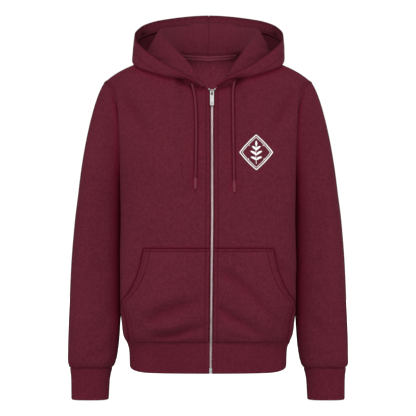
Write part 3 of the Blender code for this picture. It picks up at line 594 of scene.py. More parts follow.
def level_section(face, u, z):
    sign = -1 if face == "front" else 1
    side, middle, ridge = (torso_size(name, z) for name in ("side", face, face + "_ridge"))
    across = np.sin(np.minimum(u / RIDGE, 1) * math.pi / 2)
    bow = np.maximum(1 - across**SQUARENESS, 0) ** (1 / SQUARENESS)
    t = ramp(u, RIDGE, 1 - RIDGE)
    tuck = ARM_TUCK * np.clip((z - UNDERARM) / 0.05 + 1, 0, 1) ** 2
    turn = (sign * ridge + SIDE_SEAM_Y) / 2
    x = np.where(u <= RIDGE, side * across, side - t**2 * tuck)
    bend = (1 - t) ** 2 * sign * ridge + 2 * t * (1 - t) * turn + t**2 * SIDE_SEAM_Y
    y = np.where(u <= RIDGE, sign * (ridge + (middle - ridge) * bow), bend)
    return np.stack([x, y, np.broadcast_to(z, x.shape)], axis=-1)


def yoke_knots(yoke):
    knots = round_of(yoke["out"])
    knots[-1] = 1.0
    return knots


def top_edge(yoke, u):
    """The neckline and, past the shoulder point, the shoulder seam."""
    knots = yoke_knots(yoke)
    ends = []
    for part in (slice(0, NECK_SIDE + 1), slice(NECK_SIDE, None)):
        columns = (yoke["end_" + axis][part] for axis in "xyz")
        ends.append(np.stack([smooth(knots[part], column, u) for column in columns], axis=-1))
    return np.where((u <= knots[NECK_SIDE])[..., None], *ends)


def bezier(a, b, c, d, t):
    t = t[..., None]
    return (1 - t) ** 3 * a + 3 * t * (1 - t) ** 2 * b + 3 * t**2 * (1 - t) * c + t**3 * d


def yoke_point(face, u, t):
    """A point of the body above the underarm: t from 0 there to 1 at the top edge."""
    yoke = YOKES[face]
    knots = yoke_knots(yoke)
    first, second = (
        np.stack([smooth(knots, yoke[axis + end], u) for axis in "xyz"], axis=-1) for end in "12"
    )
    return bezier(level_section(face, u, UNDERARM), first, second, top_edge(yoke, u), t)


def hem_seam(u):
    return HEM_SEAM - SEAM_DIP * np.sin(math.pi / 2 * np.abs(u)) ** 2


def body_point(face, side, u, v):
    """u may run below 0 on the back, to its other half. side mirrors the fronts."""
    out = np.abs(u)
    seam = hem_seam(out)
    low = level_section(face, out, seam + (UNDERARM - seam) * np.minimum(v, 1))
    high = yoke_point(face, out, np.clip(v - 1, 0, 1))
    x, y, z = np.moveaxis(np.where((v <= 1)[..., None], low, high), -1, 0)
    if face == "back":
        return np.stack([-np.copysign(x, u), y, z], axis=-1)
    return np.stack([side * x + lean(x, y, z), y, z], axis=-1)


print("centre front of the neck:", body_point("front", 1, np.zeros(1), np.full(1, 2.0)).round(4))

# %% [markdown]
# ## Folds
# Real fleece is thick, so its folds are few, broad and soft: a shallow trough with a gentle
# swell beside it, longer at one end than at the other. Each is written down as three points
# on the cloth, how wide it is, how deep, and how much it swells. None repeats another.

# %% Folds as soft troughs
FOLD_STEPS = 28


def fold_lift(places, folds):
    """How far each place moves out of the cloth. places are (across, up) pairs."""
    lift = np.zeros(places.shape[:-1])
    t = np.linspace(0, 1, FOLD_STEPS)[:, None]
    for ax, az, bx, bz, cx, cz, width, depth, swell in folds:
        a, b, c = np.array((ax, az)), np.array((bx, bz)), np.array((cx, cz))
        line = (1 - t) ** 2 * a + 2 * t * (1 - t) * (2 * b - (a + c) / 2) + t**2 * c
        along = unit(np.gradient(line, axis=0))
        away = places[..., None, :] - line
        nearest = np.argmin((away**2).sum(axis=-1), axis=-1)
        gap = np.take_along_axis(away, nearest[..., None, None], axis=-2)[..., 0, :]
        ahead = along[nearest]
        past = (gap * ahead).sum(axis=-1)
        sideways = gap[..., 1] * ahead[..., 0] - gap[..., 0] * ahead[..., 1]
        share = nearest / (FOLD_STEPS - 1)
        ends = np.sin(math.pi * np.clip(0.06 + 0.9 * share, 0, 1)) ** 0.8
        fade = bell(past, 1.6 * width)
        trough = bell(sideways, width)
        ridge = bell(sideways - 1.9 * width, 1.25 * width)
        lift += depth * ends * fade * (swell * ridge - trough)
    return lift


print("depth in the middle of a 4 mm trough:",
      fold_lift(np.array([[0.0, 0.0]]), [(-0.1, 0, 0, 0, 0.1, 0, 0.01, 0.004, 0.4)]).round(4))

# %% [markdown]
# ## Sewing a panel
# A panel's edges matter as much as its middle. At a seam the cloth rolls in, and a few
# millimetres inside it a row of topstitching draws it down again. Grid lines are therefore
# placed at exact distances from the edges, close together where something happens, and the
# thickness goes on after the cloth has its final shape.

# %% Panel helpers
FLEECE = 0.0020
CLOTH_STEP = 0.0040
EDGE_STEPS = np.array((0, 0.0003, 0.0007, 0.0012, 0.0020, 0.0032, 0.0048))
STITCH_STEPS = np.array((-0.0018, -0.0009, -0.0004, 0, 0.0004, 0.0009, 0.0018))
GROOVE_HALF = 0.0009
STITCH_SHADE_HALF = 0.0013
GROOVE_DEPTH = 0.0011
PUFF_HEIGHT = 0.0006
ROLL_REACH = 0.0034
RIM_SHARE = 0.46
NEAREST_LINES = 0.00025


def edge_lines(stitches):
    """Distances from an edge at which the grid needs a line."""
    wanted = np.sort(np.concatenate([EDGE_STEPS, *[s + STITCH_STEPS for s in stitches]]))
    kept = [wanted[0]]
    for distance in wanted[1:]:
        if distance - kept[-1] >= NEAREST_LINES:
            kept.append(distance)
    return np.array(kept)


def distances_in(points):
    """Each point's distance along its row from both ends."""
    gaps = np.linalg.norm(np.diff(points, axis=1), axis=2)
    along = np.concatenate([np.zeros((len(points), 1)), np.cumsum(gaps, axis=1)], axis=1)
    return along, along[:, -1:] - along


def even_out(points, first, last, step):
    """Moves each row's points along it, to set distances from its ends and evenly between."""
    along = distances_in(points)[0]
    total = along[:, -1]
    taken = first[-1] + last[-1]
    between = max(int((np.percentile(total, 80) - taken) / step), 4)
    share = np.minimum(1, 0.7 * total / taken)[:, None]
    near, far = first * share, total[:, None] - last[::-1] * share
    middle = near[:, -1:] + (far[:, :1] - near[:, -1:]) * np.arange(1, between) / between
    wanted = np.concatenate([near, middle, far], axis=1)
    rows = [
        np.stack([np.interp(w, a, p[:, axis]) for axis in range(3)], axis=1)
        for w, a, p in zip(wanted, along, points)
    ]
    return np.array(rows)


def grid_normals(points, outward):
    across = np.gradient(points, axis=1)
    upward = np.gradient(points, axis=0)
    return unit(np.cross(across, upward)) * outward


def wall_faces(rows, columns, outward):
    """Quads of an outer grid, an inner grid and the rim between them, all facing out."""
    index = np.arange(rows * columns).reshape(rows, columns)
    inner = index + rows * columns

    def quads(a, b, c, d):
        return np.stack([a.ravel(), b.ravel(), c.ravel(), d.ravel()], axis=1)

    faces = [
        quads(index[:-1, :-1], index[:-1, 1:], index[1:, 1:], index[1:, :-1]),
        quads(inner[1:, :-1], inner[1:, 1:], inner[:-1, 1:], inner[:-1, :-1]),
        quads(index[0, 1:], index[0, :-1], inner[0, :-1], inner[0, 1:]),
        quads(index[-1, :-1], index[-1, 1:], inner[-1, 1:], inner[-1, :-1]),
        quads(index[:-1, 0], index[1:, 0], inner[1:, 0], inner[:-1, 0]),
        quads(index[1:, -1], index[:-1, -1], inner[:-1, -1], inner[1:, -1]),
    ]
    faces = np.concatenate(faces)
    return (faces if outward > 0 else faces[:, ::-1]).tolist()


def cloth_uv(points):
    """The cloth laid flat, in tenths of a metre: along each row, and up its middle column."""
    across = distances_in(points)[0]
    across = across - across[:, -1:] / 2
    up = lengths_along(points[:, points.shape[1] // 2])[:, None] + np.zeros_like(across)
    flat = np.stack([across, up], axis=-1).reshape(-1, 2) * 10
    return np.concatenate([flat, flat])


def rim_rounding(from_rim, thick):
    """How far the two faces of a cloth draw together near its edge, to make the rim round."""
    radius = RIM_SHARE * thick
    nearest = np.minimum(from_rim, radius)
    return (radius - np.sqrt(np.maximum(radius**2 - (radius - nearest) ** 2, 0)))[..., None]


def add_wall(name, points, outer, inner, outward, material):
    """A mesh of a cloth's two faces and the rim between them."""
    corners = np.concatenate([outer.reshape(-1, 3), inner.reshape(-1, 3)])
    faces = wall_faces(*points.shape[:2], outward)
    return add_mesh(name, corners, faces, material, cloth_uv(points))


class Edge:
    """What is done to one edge of a panel: how far it rolls in, and the rows of stitches."""

    def __init__(self, roll=0.0010, stitches=(), where=None, pull=1.0):
        self.roll, self.stitches, self.where, self.pull = roll, stitches, where, pull

    def lift(self, distance, points):
        shown = np.ones(distance.shape) if self.where is None else self.where(points)
        lift = -self.roll * np.maximum(1 - distance / ROLL_REACH, 0) ** 2
        for at in self.stitches:
            groove = bell(distance - at, GROOVE_HALF)
            lift -= self.pull * GROOVE_DEPTH * shown * groove
            puff = bell(distance - at / 2, at / 3)
            lift += self.pull * PUFF_HEIGHT * shown * puff
        return lift


def sew_panel(name, surface, us, vs, outward, edges, material, lift=None, thick=FLEECE, out=0.0,
              step=CLOTH_STEP, *, replaced):
    """A finished panel. edges are its start, end, bottom and top. Returns the piece's grids."""
    points = surface(*np.meshgrid(us, vs))
    start, end, bottom, top = edges
    points = even_out(points, edge_lines(start.stitches), edge_lines(end.stitches), step)
    points = even_out(
        points.swapaxes(0, 1), edge_lines(bottom.stitches), edge_lines(top.stitches), step
    ).swapaxes(0, 1)
    from_start, from_end = distances_in(points)
    from_bottom, from_top = (d.T for d in distances_in(points.swapaxes(0, 1)))
    distances = (from_start, from_end, from_bottom, from_top)
    normals = grid_normals(points, outward)
    height = out + sum(edge.lift(d, points) for edge, d in zip(edges, distances))
    if lift is not None:
        height = height + lift(points, distances)
    shaped = points + normals * height[..., None]
    normals = grid_normals(shaped, outward)
    rounding = rim_rounding(np.minimum.reduce(distances), thick)
    outer = shaped - normals * rounding
    inner = shaped - normals * (thick - rounding)
    piece = add_wall(name, points, outer, inner, outward, material)
    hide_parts(replaced)
    rows, columns = points.shape[:2]
    print(f"{name}: {columns} x {rows} points")
    # Where the rows of stitches run; this feeds the painted shade along them further down
    stitched = np.zeros_like(height)
    for edge, away in zip(edges, distances):
        for at in edge.stitches:
            stitched = np.maximum(stitched, bell(away - at, STITCH_SHADE_HALF))
    return {
        "piece": piece, "outer": outer, "normals": normals, "distances": distances,
        "height": height, "stitched": stitched,
    }


print("grid lines for stitches 5 mm in:", len(edge_lines((0.005,))))

# %% [markdown]
# ## Fronts and back
# Each front runs from the zip to the side seam, and its top is the neckline and the shoulder
# seam. It is topstitched 9.4 mm from the edge beside the zip, 5.5 mm from the neckline and
# 6.6 mm from the armhole. Folds fan out from the armpits, where a sewn-in sleeve pulls, and
# gather lightly above the ribbed hem.

# %% Folds of the fronts and the back
FRONT_FOLDS = {
    "right": (
        (-0.187, -0.080, -0.163, -0.124, -0.122, -0.192, 0.0155, 0.0078, 0.25),
        (-0.176, -0.150, -0.160, -0.215, -0.130, -0.270, 0.0200, 0.0016, 0.40),
        (-0.116, -0.368, -0.131, -0.398, -0.154, -0.425, 0.0160, 0.0022, 0.40),
        (-0.149, -0.452, -0.162, -0.476, -0.184, -0.490, 0.0110, 0.0030, 0.50),
        (-0.060, -0.300, -0.085, -0.330, -0.125, -0.345, 0.0240, 0.0012, 0.50),
    ),
    "left": (
        (0.130, -0.186, 0.168, -0.118, 0.194, -0.070, 0.0155, 0.0080, 0.25),
        (0.140, -0.260, 0.165, -0.205, 0.178, -0.150, 0.0200, 0.0014, 0.40),
        (0.144, -0.452, 0.161, -0.472, 0.183, -0.494, 0.0110, 0.0030, 0.50),
        (0.055, -0.325, 0.090, -0.352, 0.135, -0.372, 0.0250, 0.0014, 0.50),
    ),
}
BACK_FOLDS = (
    (-0.186, -0.098, -0.150, -0.150, -0.090, -0.196, 0.0170, 0.0045, 0.35),
    (0.184, -0.090, 0.142, -0.160, 0.100, -0.186, 0.0160, 0.0050, 0.30),
    (-0.170, -0.300, -0.110, -0.345, -0.040, -0.360, 0.0220, 0.0028, 0.50),
    (0.040, -0.392, 0.105, -0.372, 0.172, -0.330, 0.0240, 0.0030, 0.45),
    (-0.150, -0.520, -0.085, -0.556, -0.020, -0.562, 0.0180, 0.0034, 0.50),
    (0.030, -0.588, 0.090, -0.570, 0.160, -0.520, 0.0170, 0.0036, 0.50),
    (-0.120, -0.600, -0.080, -0.612, -0.045, -0.611, 0.0090, 0.0020, 0.40),
    (0.000, -0.075, 0.004, -0.150, 0.000, -0.230, 0.0300, 0.0016, 0.20),
)
GATHERS = ((0.046, 0.3, 1.0), (0.071, 1.7, 0.8), (0.029, 0.9, 0.45))
GATHER_DEPTH = 0.0006
GATHER_REACH = 0.022


def gathers(along, distance):
    """Shallow uneven waves beside a seam that draws the cloth in."""
    waves = sum(
        share * np.sin(2 * math.pi * along / pitch + phase) for pitch, phase, share in GATHERS
    )
    return GATHER_DEPTH * waves * bell(distance, GATHER_REACH)


def above_underarm(points):
    return ramp(points[..., 2] - UNDERARM, 0.004, 0.010)


def near_neck(points):
    return ramp(-np.abs(points[..., 0]), -0.078, 0.006)


print("folds:", len(FRONT_FOLDS["right"]), len(FRONT_FOLDS["left"]), len(BACK_FOLDS))

# %% Sizes of the pockets
POCKET = table(
    "height   reach",
    (-0.6370, 0.167),
    (-0.600, 0.1700),
    (-0.580, 0.1725),
    (-0.566, 0.1755),
    (-0.556, 0.1795),
    (-0.547, 0.1825),
    (-0.538, 0.180),
    (-0.521, 0.1665),
    (-0.496, 0.153),
    (-0.462, 0.142),
    (-0.4264, 0.1365),
)
POCKET_BULGE = 0.011
POCKET_MOUTH = 0.0065
POCKET_CORNER = -0.552
POCKET_FOOT = -0.6238
POCKET_LIFT = 0.0009
POCKET_EDGE = 0.0048
POCKET_TOP = -0.4264
POCKET_STITCH = 0.0052
MOUTH_HEM = 0.0140
SIDE_HEM = 0.0052
PRESS_ABOVE = 0.0016
PRESS_BESIDE = 0.0024
PRESS_UNDER = 0.0030
CORD_PRESS = 0.0024
CORD_FURROW = 0.0038
FURROW_FOOT = -0.305


def pocket_reach(z):
    """How far from the centre front the pocket's side edge is at a height."""
    return smooth(POCKET["height"], POCKET["reach"], z)


def pressed_by_pocket(points):
    """The front is drawn in along the pocket's top and under its open edge."""
    x, z = np.abs(points[..., 0]), points[..., 2]
    above = bell(z - POCKET_TOP - 0.0010, 0.0026)
    above *= ramp(-x, -0.139, 0.004)
    away = x - pocket_reach(z)
    height = ramp(POCKET_TOP, z, 0.006) * ramp(z, -0.622, 0.010)
    beside = bell(away - 0.0012, 0.0042) * height
    under = height * ramp(-away, 0, 0.01)
    return -PRESS_ABOVE * above - PRESS_BESIDE * beside - PRESS_UNDER * under


def pressed_by_cord(points, side):
    line = cord_line(CORD_ROUTES[side], 60)
    at = np.interp(-points[..., 2], -line[:, 2], line[:, 0])
    beside = bell(points[..., 0] - at, CORD_FURROW)
    return -CORD_PRESS * beside * ramp(points[..., 2], FURROW_FOOT, 0.01)


print("pocket heights:", len(POCKET["height"]))

# %% Sew the fronts
EDGE_STITCH = 0.0094
ARMHOLE_STITCH = 0.0066
NECK_STITCH = 0.0055
panels = {}

for side, sign in SIDES.items():
    first = float(round_of(EDGE_TO_ZIP))

    def front(u, v, sign=sign):
        return body_point("front", sign, u, v)

    def front_lift(points, distances, side=side, sign=sign):
        fade = ramp(distances[0], 0, 0.016) * ramp(distances[1], 0, 0.012)
        folds = fold_lift(points[..., [0, 2]], FRONT_FOLDS[side])
        edge = ramp(distances[0], 0.002, 0.004)
        pressed = (pressed_by_pocket(points) + pressed_by_cord(points, side)) * edge
        return folds * fade + pressed + gathers(points[..., 0] * 1.3 + sign * 0.02, distances[2])

    edges = (
        Edge(roll=0.0, stitches=(EDGE_STITCH,)),
        Edge(stitches=(ARMHOLE_STITCH,), where=above_underarm),
        Edge(),
        Edge(stitches=(NECK_STITCH,), where=near_neck),
    )
    panels["front_" + side] = sew_panel(
        f"front_cloth_{side}", front, np.linspace(first, 1, 260), np.linspace(0, 2, 420), sign,
        edges, fleece, front_lift, step=0.0029, replaced=f"front_{side}",
    )

# %% Sew the back


def back(u, v):
    return body_point("back", 1, u, v)


def back_lift(points, distances):
    fade = ramp(distances[0], 0, 0.012) * ramp(distances[1], 0, 0.012)
    folds = fold_lift(points[..., [0, 2]], BACK_FOLDS)
    return folds * fade + gathers(points[..., 0] * 1.2, distances[2])


armhole_edge = Edge(stitches=(ARMHOLE_STITCH,), where=above_underarm)
panels["back"] = sew_panel(
    "back_cloth", back, np.linspace(-1, 1, 420), np.linspace(0, 2, 420), 1,
    (armhole_edge, armhole_edge, Edge(), Edge(stitches=(NECK_STITCH,))),
    fleece, back_lift, replaced="back",
)

# %% [markdown]
# ## Sleeves
# A sleeve is one flat piece, sewn into a tube by a seam under the arm and set into the
# armhole. Worn, it is an oval tube that hangs almost straight, a little forward at the cuff.
# Its folds are broadest at the elbow, and the rib below it makes the last centimetres puff out.

# %% Sleeve sizes and points
CUFF_BOTTOM = -0.7575
CUFF_SEAM = -0.6875
SLEEVE = table(
    "height  outer   inner   middle  depth",
    (-0.6875, 0.3030, 0.2085, -0.012, 0.040),
    (-0.680, 0.3062, 0.2040, -0.011, 0.046),
    (-0.663, 0.3072, 0.1995, -0.010, 0.051),
    (-0.630, 0.3068, 0.1950, -0.008, 0.055),
    (-0.600, 0.3060, 0.1932, -0.004, 0.059),
    (-0.545, 0.3040, 0.1942, 0.000, 0.062),
    (-0.462, 0.3005, 0.1945, 0.004, 0.066),
    (-0.365, 0.2925, 0.1930, 0.007, 0.069),
    (-0.305, 0.2850, 0.1895, 0.008, 0.070),
)
CUFF = table(
    "height  outer   inner   middle  depth",
    (-0.7575, 0.2990, 0.2180, -0.014, 0.0350),
    (-0.715, 0.2995, 0.2155, -0.013, 0.0360),
    (-0.6875, 0.3015, 0.2105, -0.012, 0.0385),
)
SLEEVE_TOP_RING = -0.305
ARM_SQUARE = 0.70
CAP_LEAN = 0.031
CAP_NARROWING = 0.45
CAP_REACH = 0.20
CAP_DROP = 0.042
SLEEVE_CLEAR = 0.0011


def arm_ring(sizes, side, z, w):
    """A ring of a sleeve or a cuff: w is 0 at its inner side and runs round by the front."""
    outer, inner, middle, depth = (
        smooth(sizes["height"], sizes[column], z)
        for column in ("outer", "inner", "middle", "depth")
    )
    across, ahead = np.cos(2 * math.pi * w), np.sin(2 * math.pi * w)
    square = np.copysign(np.abs(across) ** ARM_SQUARE, across)
    x = (outer + inner) / 2 - (outer - inner) / 2 * square
    y = middle - depth * np.copysign(np.abs(ahead) ** ARM_SQUARE, ahead)
    return np.stack([side * x, y, np.broadcast_to(z, x.shape)], axis=-1)


def sleeve_point(side, w, v):
    """v is 0 at the cuff seam, 1 just under the arm and 2 at the armhole seam."""
    ring_z = CUFF_SEAM + (SLEEVE_TOP_RING - CUFF_SEAM) * np.minimum(v, 1)
    ring = arm_ring(SLEEVE, 1, ring_z, w)
    ahead = yoke_point("front", np.ones_like(w), np.clip(2 * w, 0, 1))
    behind = yoke_point("back", np.ones_like(w), np.clip(2 - 2 * w, 0, 1))
    high = np.where((w <= 0.5)[..., None], ahead, behind)
    low = arm_ring(SLEEVE, 1, np.full_like(w, SLEEVE_TOP_RING), w)
    rise = high[..., 2] - low[..., 2]
    drop = np.minimum(CAP_DROP, 0.35 * rise)

    def leaning(z):
        share = np.maximum(z - low[..., 2], 0) / CAP_REACH
        x = low[..., 0] - CAP_LEAN * share**1.35
        return np.stack([x, low[..., 1] * (1 - CAP_NARROWING * share), z], axis=-1)

    second = leaning(high[..., 2] - drop)
    first = leaning(low[..., 2] + 0.45 * (second[..., 2] - low[..., 2]))
    t = np.clip(v - 1, 0, 1)
    cap = bezier(low, first, second, high, t)
    cap[..., 0] += SLEEVE_CLEAR * 4 * t * (1 - t)
    point = np.where((v <= 1)[..., None], ring, cap)
    return point * np.array((side, 1, 1))


SLEEVE_FOLDS = {
    "right": (
        (-0.238, -0.300, -0.232, -0.400, -0.236, -0.520, 0.0190, 0.0026, 0.30),
        (-0.262, -0.430, -0.240, -0.462, -0.212, -0.476, 0.0150, 0.0020, 0.50),
        (-0.216, -0.560, -0.240, -0.600, -0.276, -0.622, 0.0150, 0.0022, 0.50),
        (-0.214, -0.640, -0.236, -0.654, -0.262, -0.657, 0.0090, 0.0022, 0.50),
    ),
    "left": (
        (0.236, -0.290, 0.240, -0.380, 0.226, -0.480, 0.0190, 0.0026, 0.30),
        (0.208, -0.462, 0.232, -0.456, 0.262, -0.430, 0.0150, 0.0022, 0.50),
        (0.210, -0.572, 0.238, -0.590, 0.268, -0.628, 0.0150, 0.0022, 0.50),
        (0.222, -0.650, 0.248, -0.656, 0.280, -0.646, 0.0090, 0.0020, 0.50),
    ),
}
SLEEVE_BACK_FOLDS = (
    (0.212, -0.330, 0.240, -0.392, 0.280, -0.420, 0.0170, 0.0034, 0.45),
    (0.208, -0.430, 0.238, -0.446, 0.274, -0.432, 0.0130, 0.0030, 0.50),
    (0.216, -0.520, 0.248, -0.556, 0.284, -0.560, 0.0160, 0.0028, 0.45),
    (0.208, -0.610, 0.242, -0.634, 0.270, -0.640, 0.0120, 0.0026, 0.50),
    (0.205, -0.150, 0.232, -0.210, 0.262, -0.250, 0.0180, 0.0026, 0.35),
)
SLEEVE_CLOSE = 0.0034
SLEEVE_CLOSE_REACH = 0.035
CLOSE_FOOT = -0.605
CLOSE_TOP = -0.16
CLOSE_FADE = 0.06
ARMHOLE_SINK = 0.0035
print("sleeve rings:", len(SLEEVE["height"]))

# %% Sew the sleeves
for side, sign in SIDES.items():

    def sleeve(w, v, sign=sign):
        return sleeve_point(sign, w, v)

    def sleeve_lift(points, distances, side=side, sign=sign):
        flat, height = points[..., [0, 2]], points[..., 2]
        in_tube = np.clip(height, CUFF_SEAM, SLEEVE_TOP_RING)
        middle = smooth(SLEEVE["height"], SLEEVE["middle"], in_tube)
        ahead = ramp(middle, points[..., 1], 0.02)
        behind = ramp(points[..., 1], middle, 0.02)
        mirrored = flat * np.array((sign, 1)) + np.array((0, 0.012 if sign > 0 else 0))
        lift = ahead * fold_lift(flat, SLEEVE_FOLDS[side])
        lift += behind * fold_lift(mirrored, SLEEVE_BACK_FOLDS)
        lift *= ramp(distances[3], 0, 0.02)
        beside = bell(np.minimum(distances[0], distances[1]), SLEEVE_CLOSE_REACH)
        level = ramp(height, CLOSE_FOOT, CLOSE_FADE) * ramp(-height, -CLOSE_TOP, CLOSE_FADE)
        lift += SLEEVE_CLOSE * beside * level
        low = ramp(-height, 0.085, 0.04)
        lift -= ARMHOLE_SINK * low * bell(distances[3] - 0.002, 0.007)
        return lift + 0.8 * gathers(distances[0] * 1.7 + sign * 0.03, distances[2])

    seam = Edge(roll=0.0008)
    panels["sleeve_" + side] = sew_panel(
        f"sleeve_cloth_{side}", sleeve, np.linspace(0, 1, 260), np.linspace(0, 2, 420), sign,
        (seam, seam, Edge(), Edge(roll=0.0012)), fleece, sleeve_lift, replaced=f"sleeve_{side}",
    )

# %% [markdown]
# ## Hood
# The hood is two mirrored panels with a seam over the head. Laid back, each part of it goes
# the same way: up from the neck seam to a soft crest, out and down into a trough, and up
# again to the rim, which is the edge that frames the face. The rim is turned in and stitched
# 25 mm from the edge, as a tunnel for the drawcord.

# %% Hood sizes and points
HOOD_CLOTH = 0.0024
HOOD = table(
    "neck  crest_x crest_y crest_z  low_x   low_y   low_z    rim_x   rim_y   rim_z",
    (0.15, 0.0125, -0.079, -0.0765, 0.0145, -0.083, -0.0775, 0.0155, -0.086, -0.0760),
    (0.31, 0.0282, -0.078, -0.0577, 0.0370, -0.084, -0.0670, 0.0335, -0.087, -0.0610),
    (0.60, 0.0540, -0.064, -0.0184, 0.0670, -0.076, -0.0590, 0.0560, -0.082, -0.0480),
    (0.84, 0.0795, -0.040, 0.0119, 0.1130, -0.060, -0.0463, 0.0950, -0.064, -0.0270),
    (1.00, 0.1034, -0.002, 0.0396, 0.1520, -0.034, -0.0310, 0.1440, -0.034, 0.0106),
    (1.14, 0.1100, 0.024, 0.0520, 0.1645, 0.008, -0.0186, 0.1620, 0.010, 0.0330),
    (1.30, 0.1078, 0.048, 0.0590, 0.1560, 0.052, -0.0330, 0.1637, 0.045, 0.0490),
    (1.48, 0.0975, 0.080, 0.0645, 0.1310, 0.096, -0.0660, 0.1500, 0.100, 0.0714),
    (1.65, 0.0760, 0.108, 0.0700, 0.0950, 0.128, -0.1050, 0.1116, 0.140, 0.0886),
    (2.00, 0.0000, 0.128, 0.0812, 0.0000, 0.150, -0.1600, 0.0000, 0.185, 0.1043),
)
HOOD |= table(
    "neck  roll    tuck   belly",
    (0.15, 0.0005, 0.001, 0.001),
    (0.31, 0.0014, 0.003, 0.003),
    (0.60, 0.0023, 0.008, 0.006),
    (0.84, 0.0032, 0.018, 0.008),
    (1.00, 0.0040, 0.024, 0.010),
    (1.14, 0.0040, 0.024, 0.005),
    (1.30, 0.0045, 0.027, 0.011),
    (1.48, 0.0054, 0.030, 0.022),
    (1.65, 0.0063, 0.030, 0.030),
    (2.00, 0.0081, 0.040, 0.040),
)
HOOD_RAISE = 0.0016
HOOD_INSET = 0.0018
HOOD_SHIFT = 0.0030
STAND_RISE = 0.4
HOOD_FIRST = 0.15
RIM_STITCH = 0.025


def neckline(along):
    """The neck seam: 0 at the zip, 1 at the shoulder point and 2 at the centre back."""
    ends = []
    for yoke, share in ((YOKES["front"], along), (YOKES["back"], np.abs(2 - along))):
        ends.append(top_edge(yoke, share * round_of(yoke["out"][NECK_SIDE])))
    line = np.where((along <= 1)[..., None], *ends)
    return line * np.stack([np.sign(2.0001 - along), *np.ones((2, *along.shape))], axis=-1)


def hood_size(column, along):
    """Past the centre back the table runs back again, so that the roll is smooth across it."""
    values = HOOD[column]
    mirrored = -values[-2::-1] if column.endswith("_x") else values[-2::-1]
    knots = np.concatenate([HOOD["neck"], 4 - HOOD["neck"][-2::-1]])
    return smooth(knots, np.concatenate([values, mirrored]), along)


def hood_point(side, along, step):
    """step is 0 at the neck seam, 1 at the crest, 2 at the bottom of the trough, 3 at the rim."""
    crest, low, rim = (
        np.stack([hood_size(f"{part}_{axis}", along) for axis in "xyz"], axis=-1)
        for part in ("crest", "low", "rim")
    )
    roll, tuck, belly = (hood_size(part, along)[..., None] for part in ("roll", "tuck", "belly"))
    up = np.array((0, 0, 1.0))
    seam = neckline(along) + up * HOOD_RAISE
    out = unit((low - seam) * np.array((1, 1, 0)))
    seam = seam - out * HOOD_INSET
    rise = up * STAND_RISE * (crest - seam)[..., 2:]
    height = up * (rim - low)[..., 2:]
    stand = bezier(seam, seam + rise, crest - out * roll, crest, np.clip(step, 0, 1))
    fall = bezier(crest, crest + out * roll, low - out * tuck, low, np.clip(step - 1, 0, 1))
    bent = rim - 0.45 * height + out * belly * 0.5
    wall = bezier(low, low + out * belly, bent, rim, np.clip(step - 2, 0, 1))
    step3 = step[..., None]
    point = np.where(step3 <= 1, stand, np.where(step3 <= 2, fall, wall))
    aside = np.maximum(1 - np.abs(step - 1), 0) + 0.7 * np.maximum(step - 2, 0)
    shift = HOOD_SHIFT * aside * ramp(along, HOOD_FIRST, 0.45)
    shift += lean(*np.moveaxis(point, -1, 0)) * (1 - np.maximum(step - 1, 0) / 2)
    point = point * np.array((side, 1, 1))
    point[..., 0] += shift
    return point


HOOD_FOLDS = {  # along the neck and steps up the hood, in the panel's own measure
    "right": (
        (1.70, 0.10, 1.80, 0.42, 1.92, 0.66, 0.040, 0.0024, 0.6),
        (1.30, 1.30, 1.42, 1.52, 1.58, 1.62, 0.060, 0.0040, 0.6),
        (1.05, 1.20, 1.12, 1.50, 1.24, 1.74, 0.045, 0.0030, 0.5),
        (0.55, 1.15, 0.70, 1.50, 0.80, 1.80, 0.060, 0.0022, 0.5),
        (1.10, 2.30, 1.30, 2.45, 1.60, 2.42, 0.100, 0.0020, 0.5),
    ),
    "left": (
        (1.55, 0.20, 1.70, 0.40, 1.80, 0.70, 0.045, 0.0018, 0.6),
        (1.26, 1.25, 1.38, 1.50, 1.50, 1.70, 0.060, 0.0042, 0.6),
        (1.00, 1.15, 1.04, 1.45, 1.10, 1.80, 0.040, 0.0036, 0.5),
        (0.60, 1.15, 0.74, 1.50, 0.86, 1.80, 0.060, 0.0022, 0.5),
        (1.05, 2.25, 1.25, 2.50, 1.50, 2.50, 0.100, 0.0020, 0.5),
    ),
}
print("hood sections:", len(HOOD["neck"]))

# %% Sew the hood
HOOD_SEAM_MIDDLE = 0.0002

for side, sign in SIDES.items():

    def hood(along, step, sign=sign):
        return hood_point(sign, along, step) + np.array((sign * HOOD_SEAM_MIDDLE, 0, 0))

    def hood_lift(points, distances, side=side):
        share = distances[0] / (distances[0] + distances[1])
        up = distances[2] / (distances[2] + distances[3])
        places = np.stack([HOOD_FIRST + (2 - HOOD_FIRST) * share, 3 * up], axis=-1)
        fade = ramp(distances[0], 0, 0.03) * ramp(distances[1], 0, 0.008)
        return fold_lift(places, HOOD_FOLDS[side]) * fade * ramp(distances[3], 0, 0.01)

    edges = (Edge(0.0), Edge(0.0014), Edge(), Edge(0.0, (RIM_STITCH,)))
    panels["hood_" + side] = sew_panel(
        f"hood_cloth_{side}", hood, np.linspace(HOOD_FIRST, 2, 300), np.linspace(0, 3, 420),
        sign, edges, fleece, hood_lift, HOOD_CLOTH, HOOD_CLOTH / 2, replaced=f"hood_{side}",
    )

# %% [markdown]
# ## Pockets
# The split kangaroo pocket is a patch on each front: sewn down along its top, the zip, the
# hem and its short lower side, and open along the slanted edge that a hand goes into. That
# edge has a 14 mm hem. The patch is a little too big for its place, so its middle stands off.

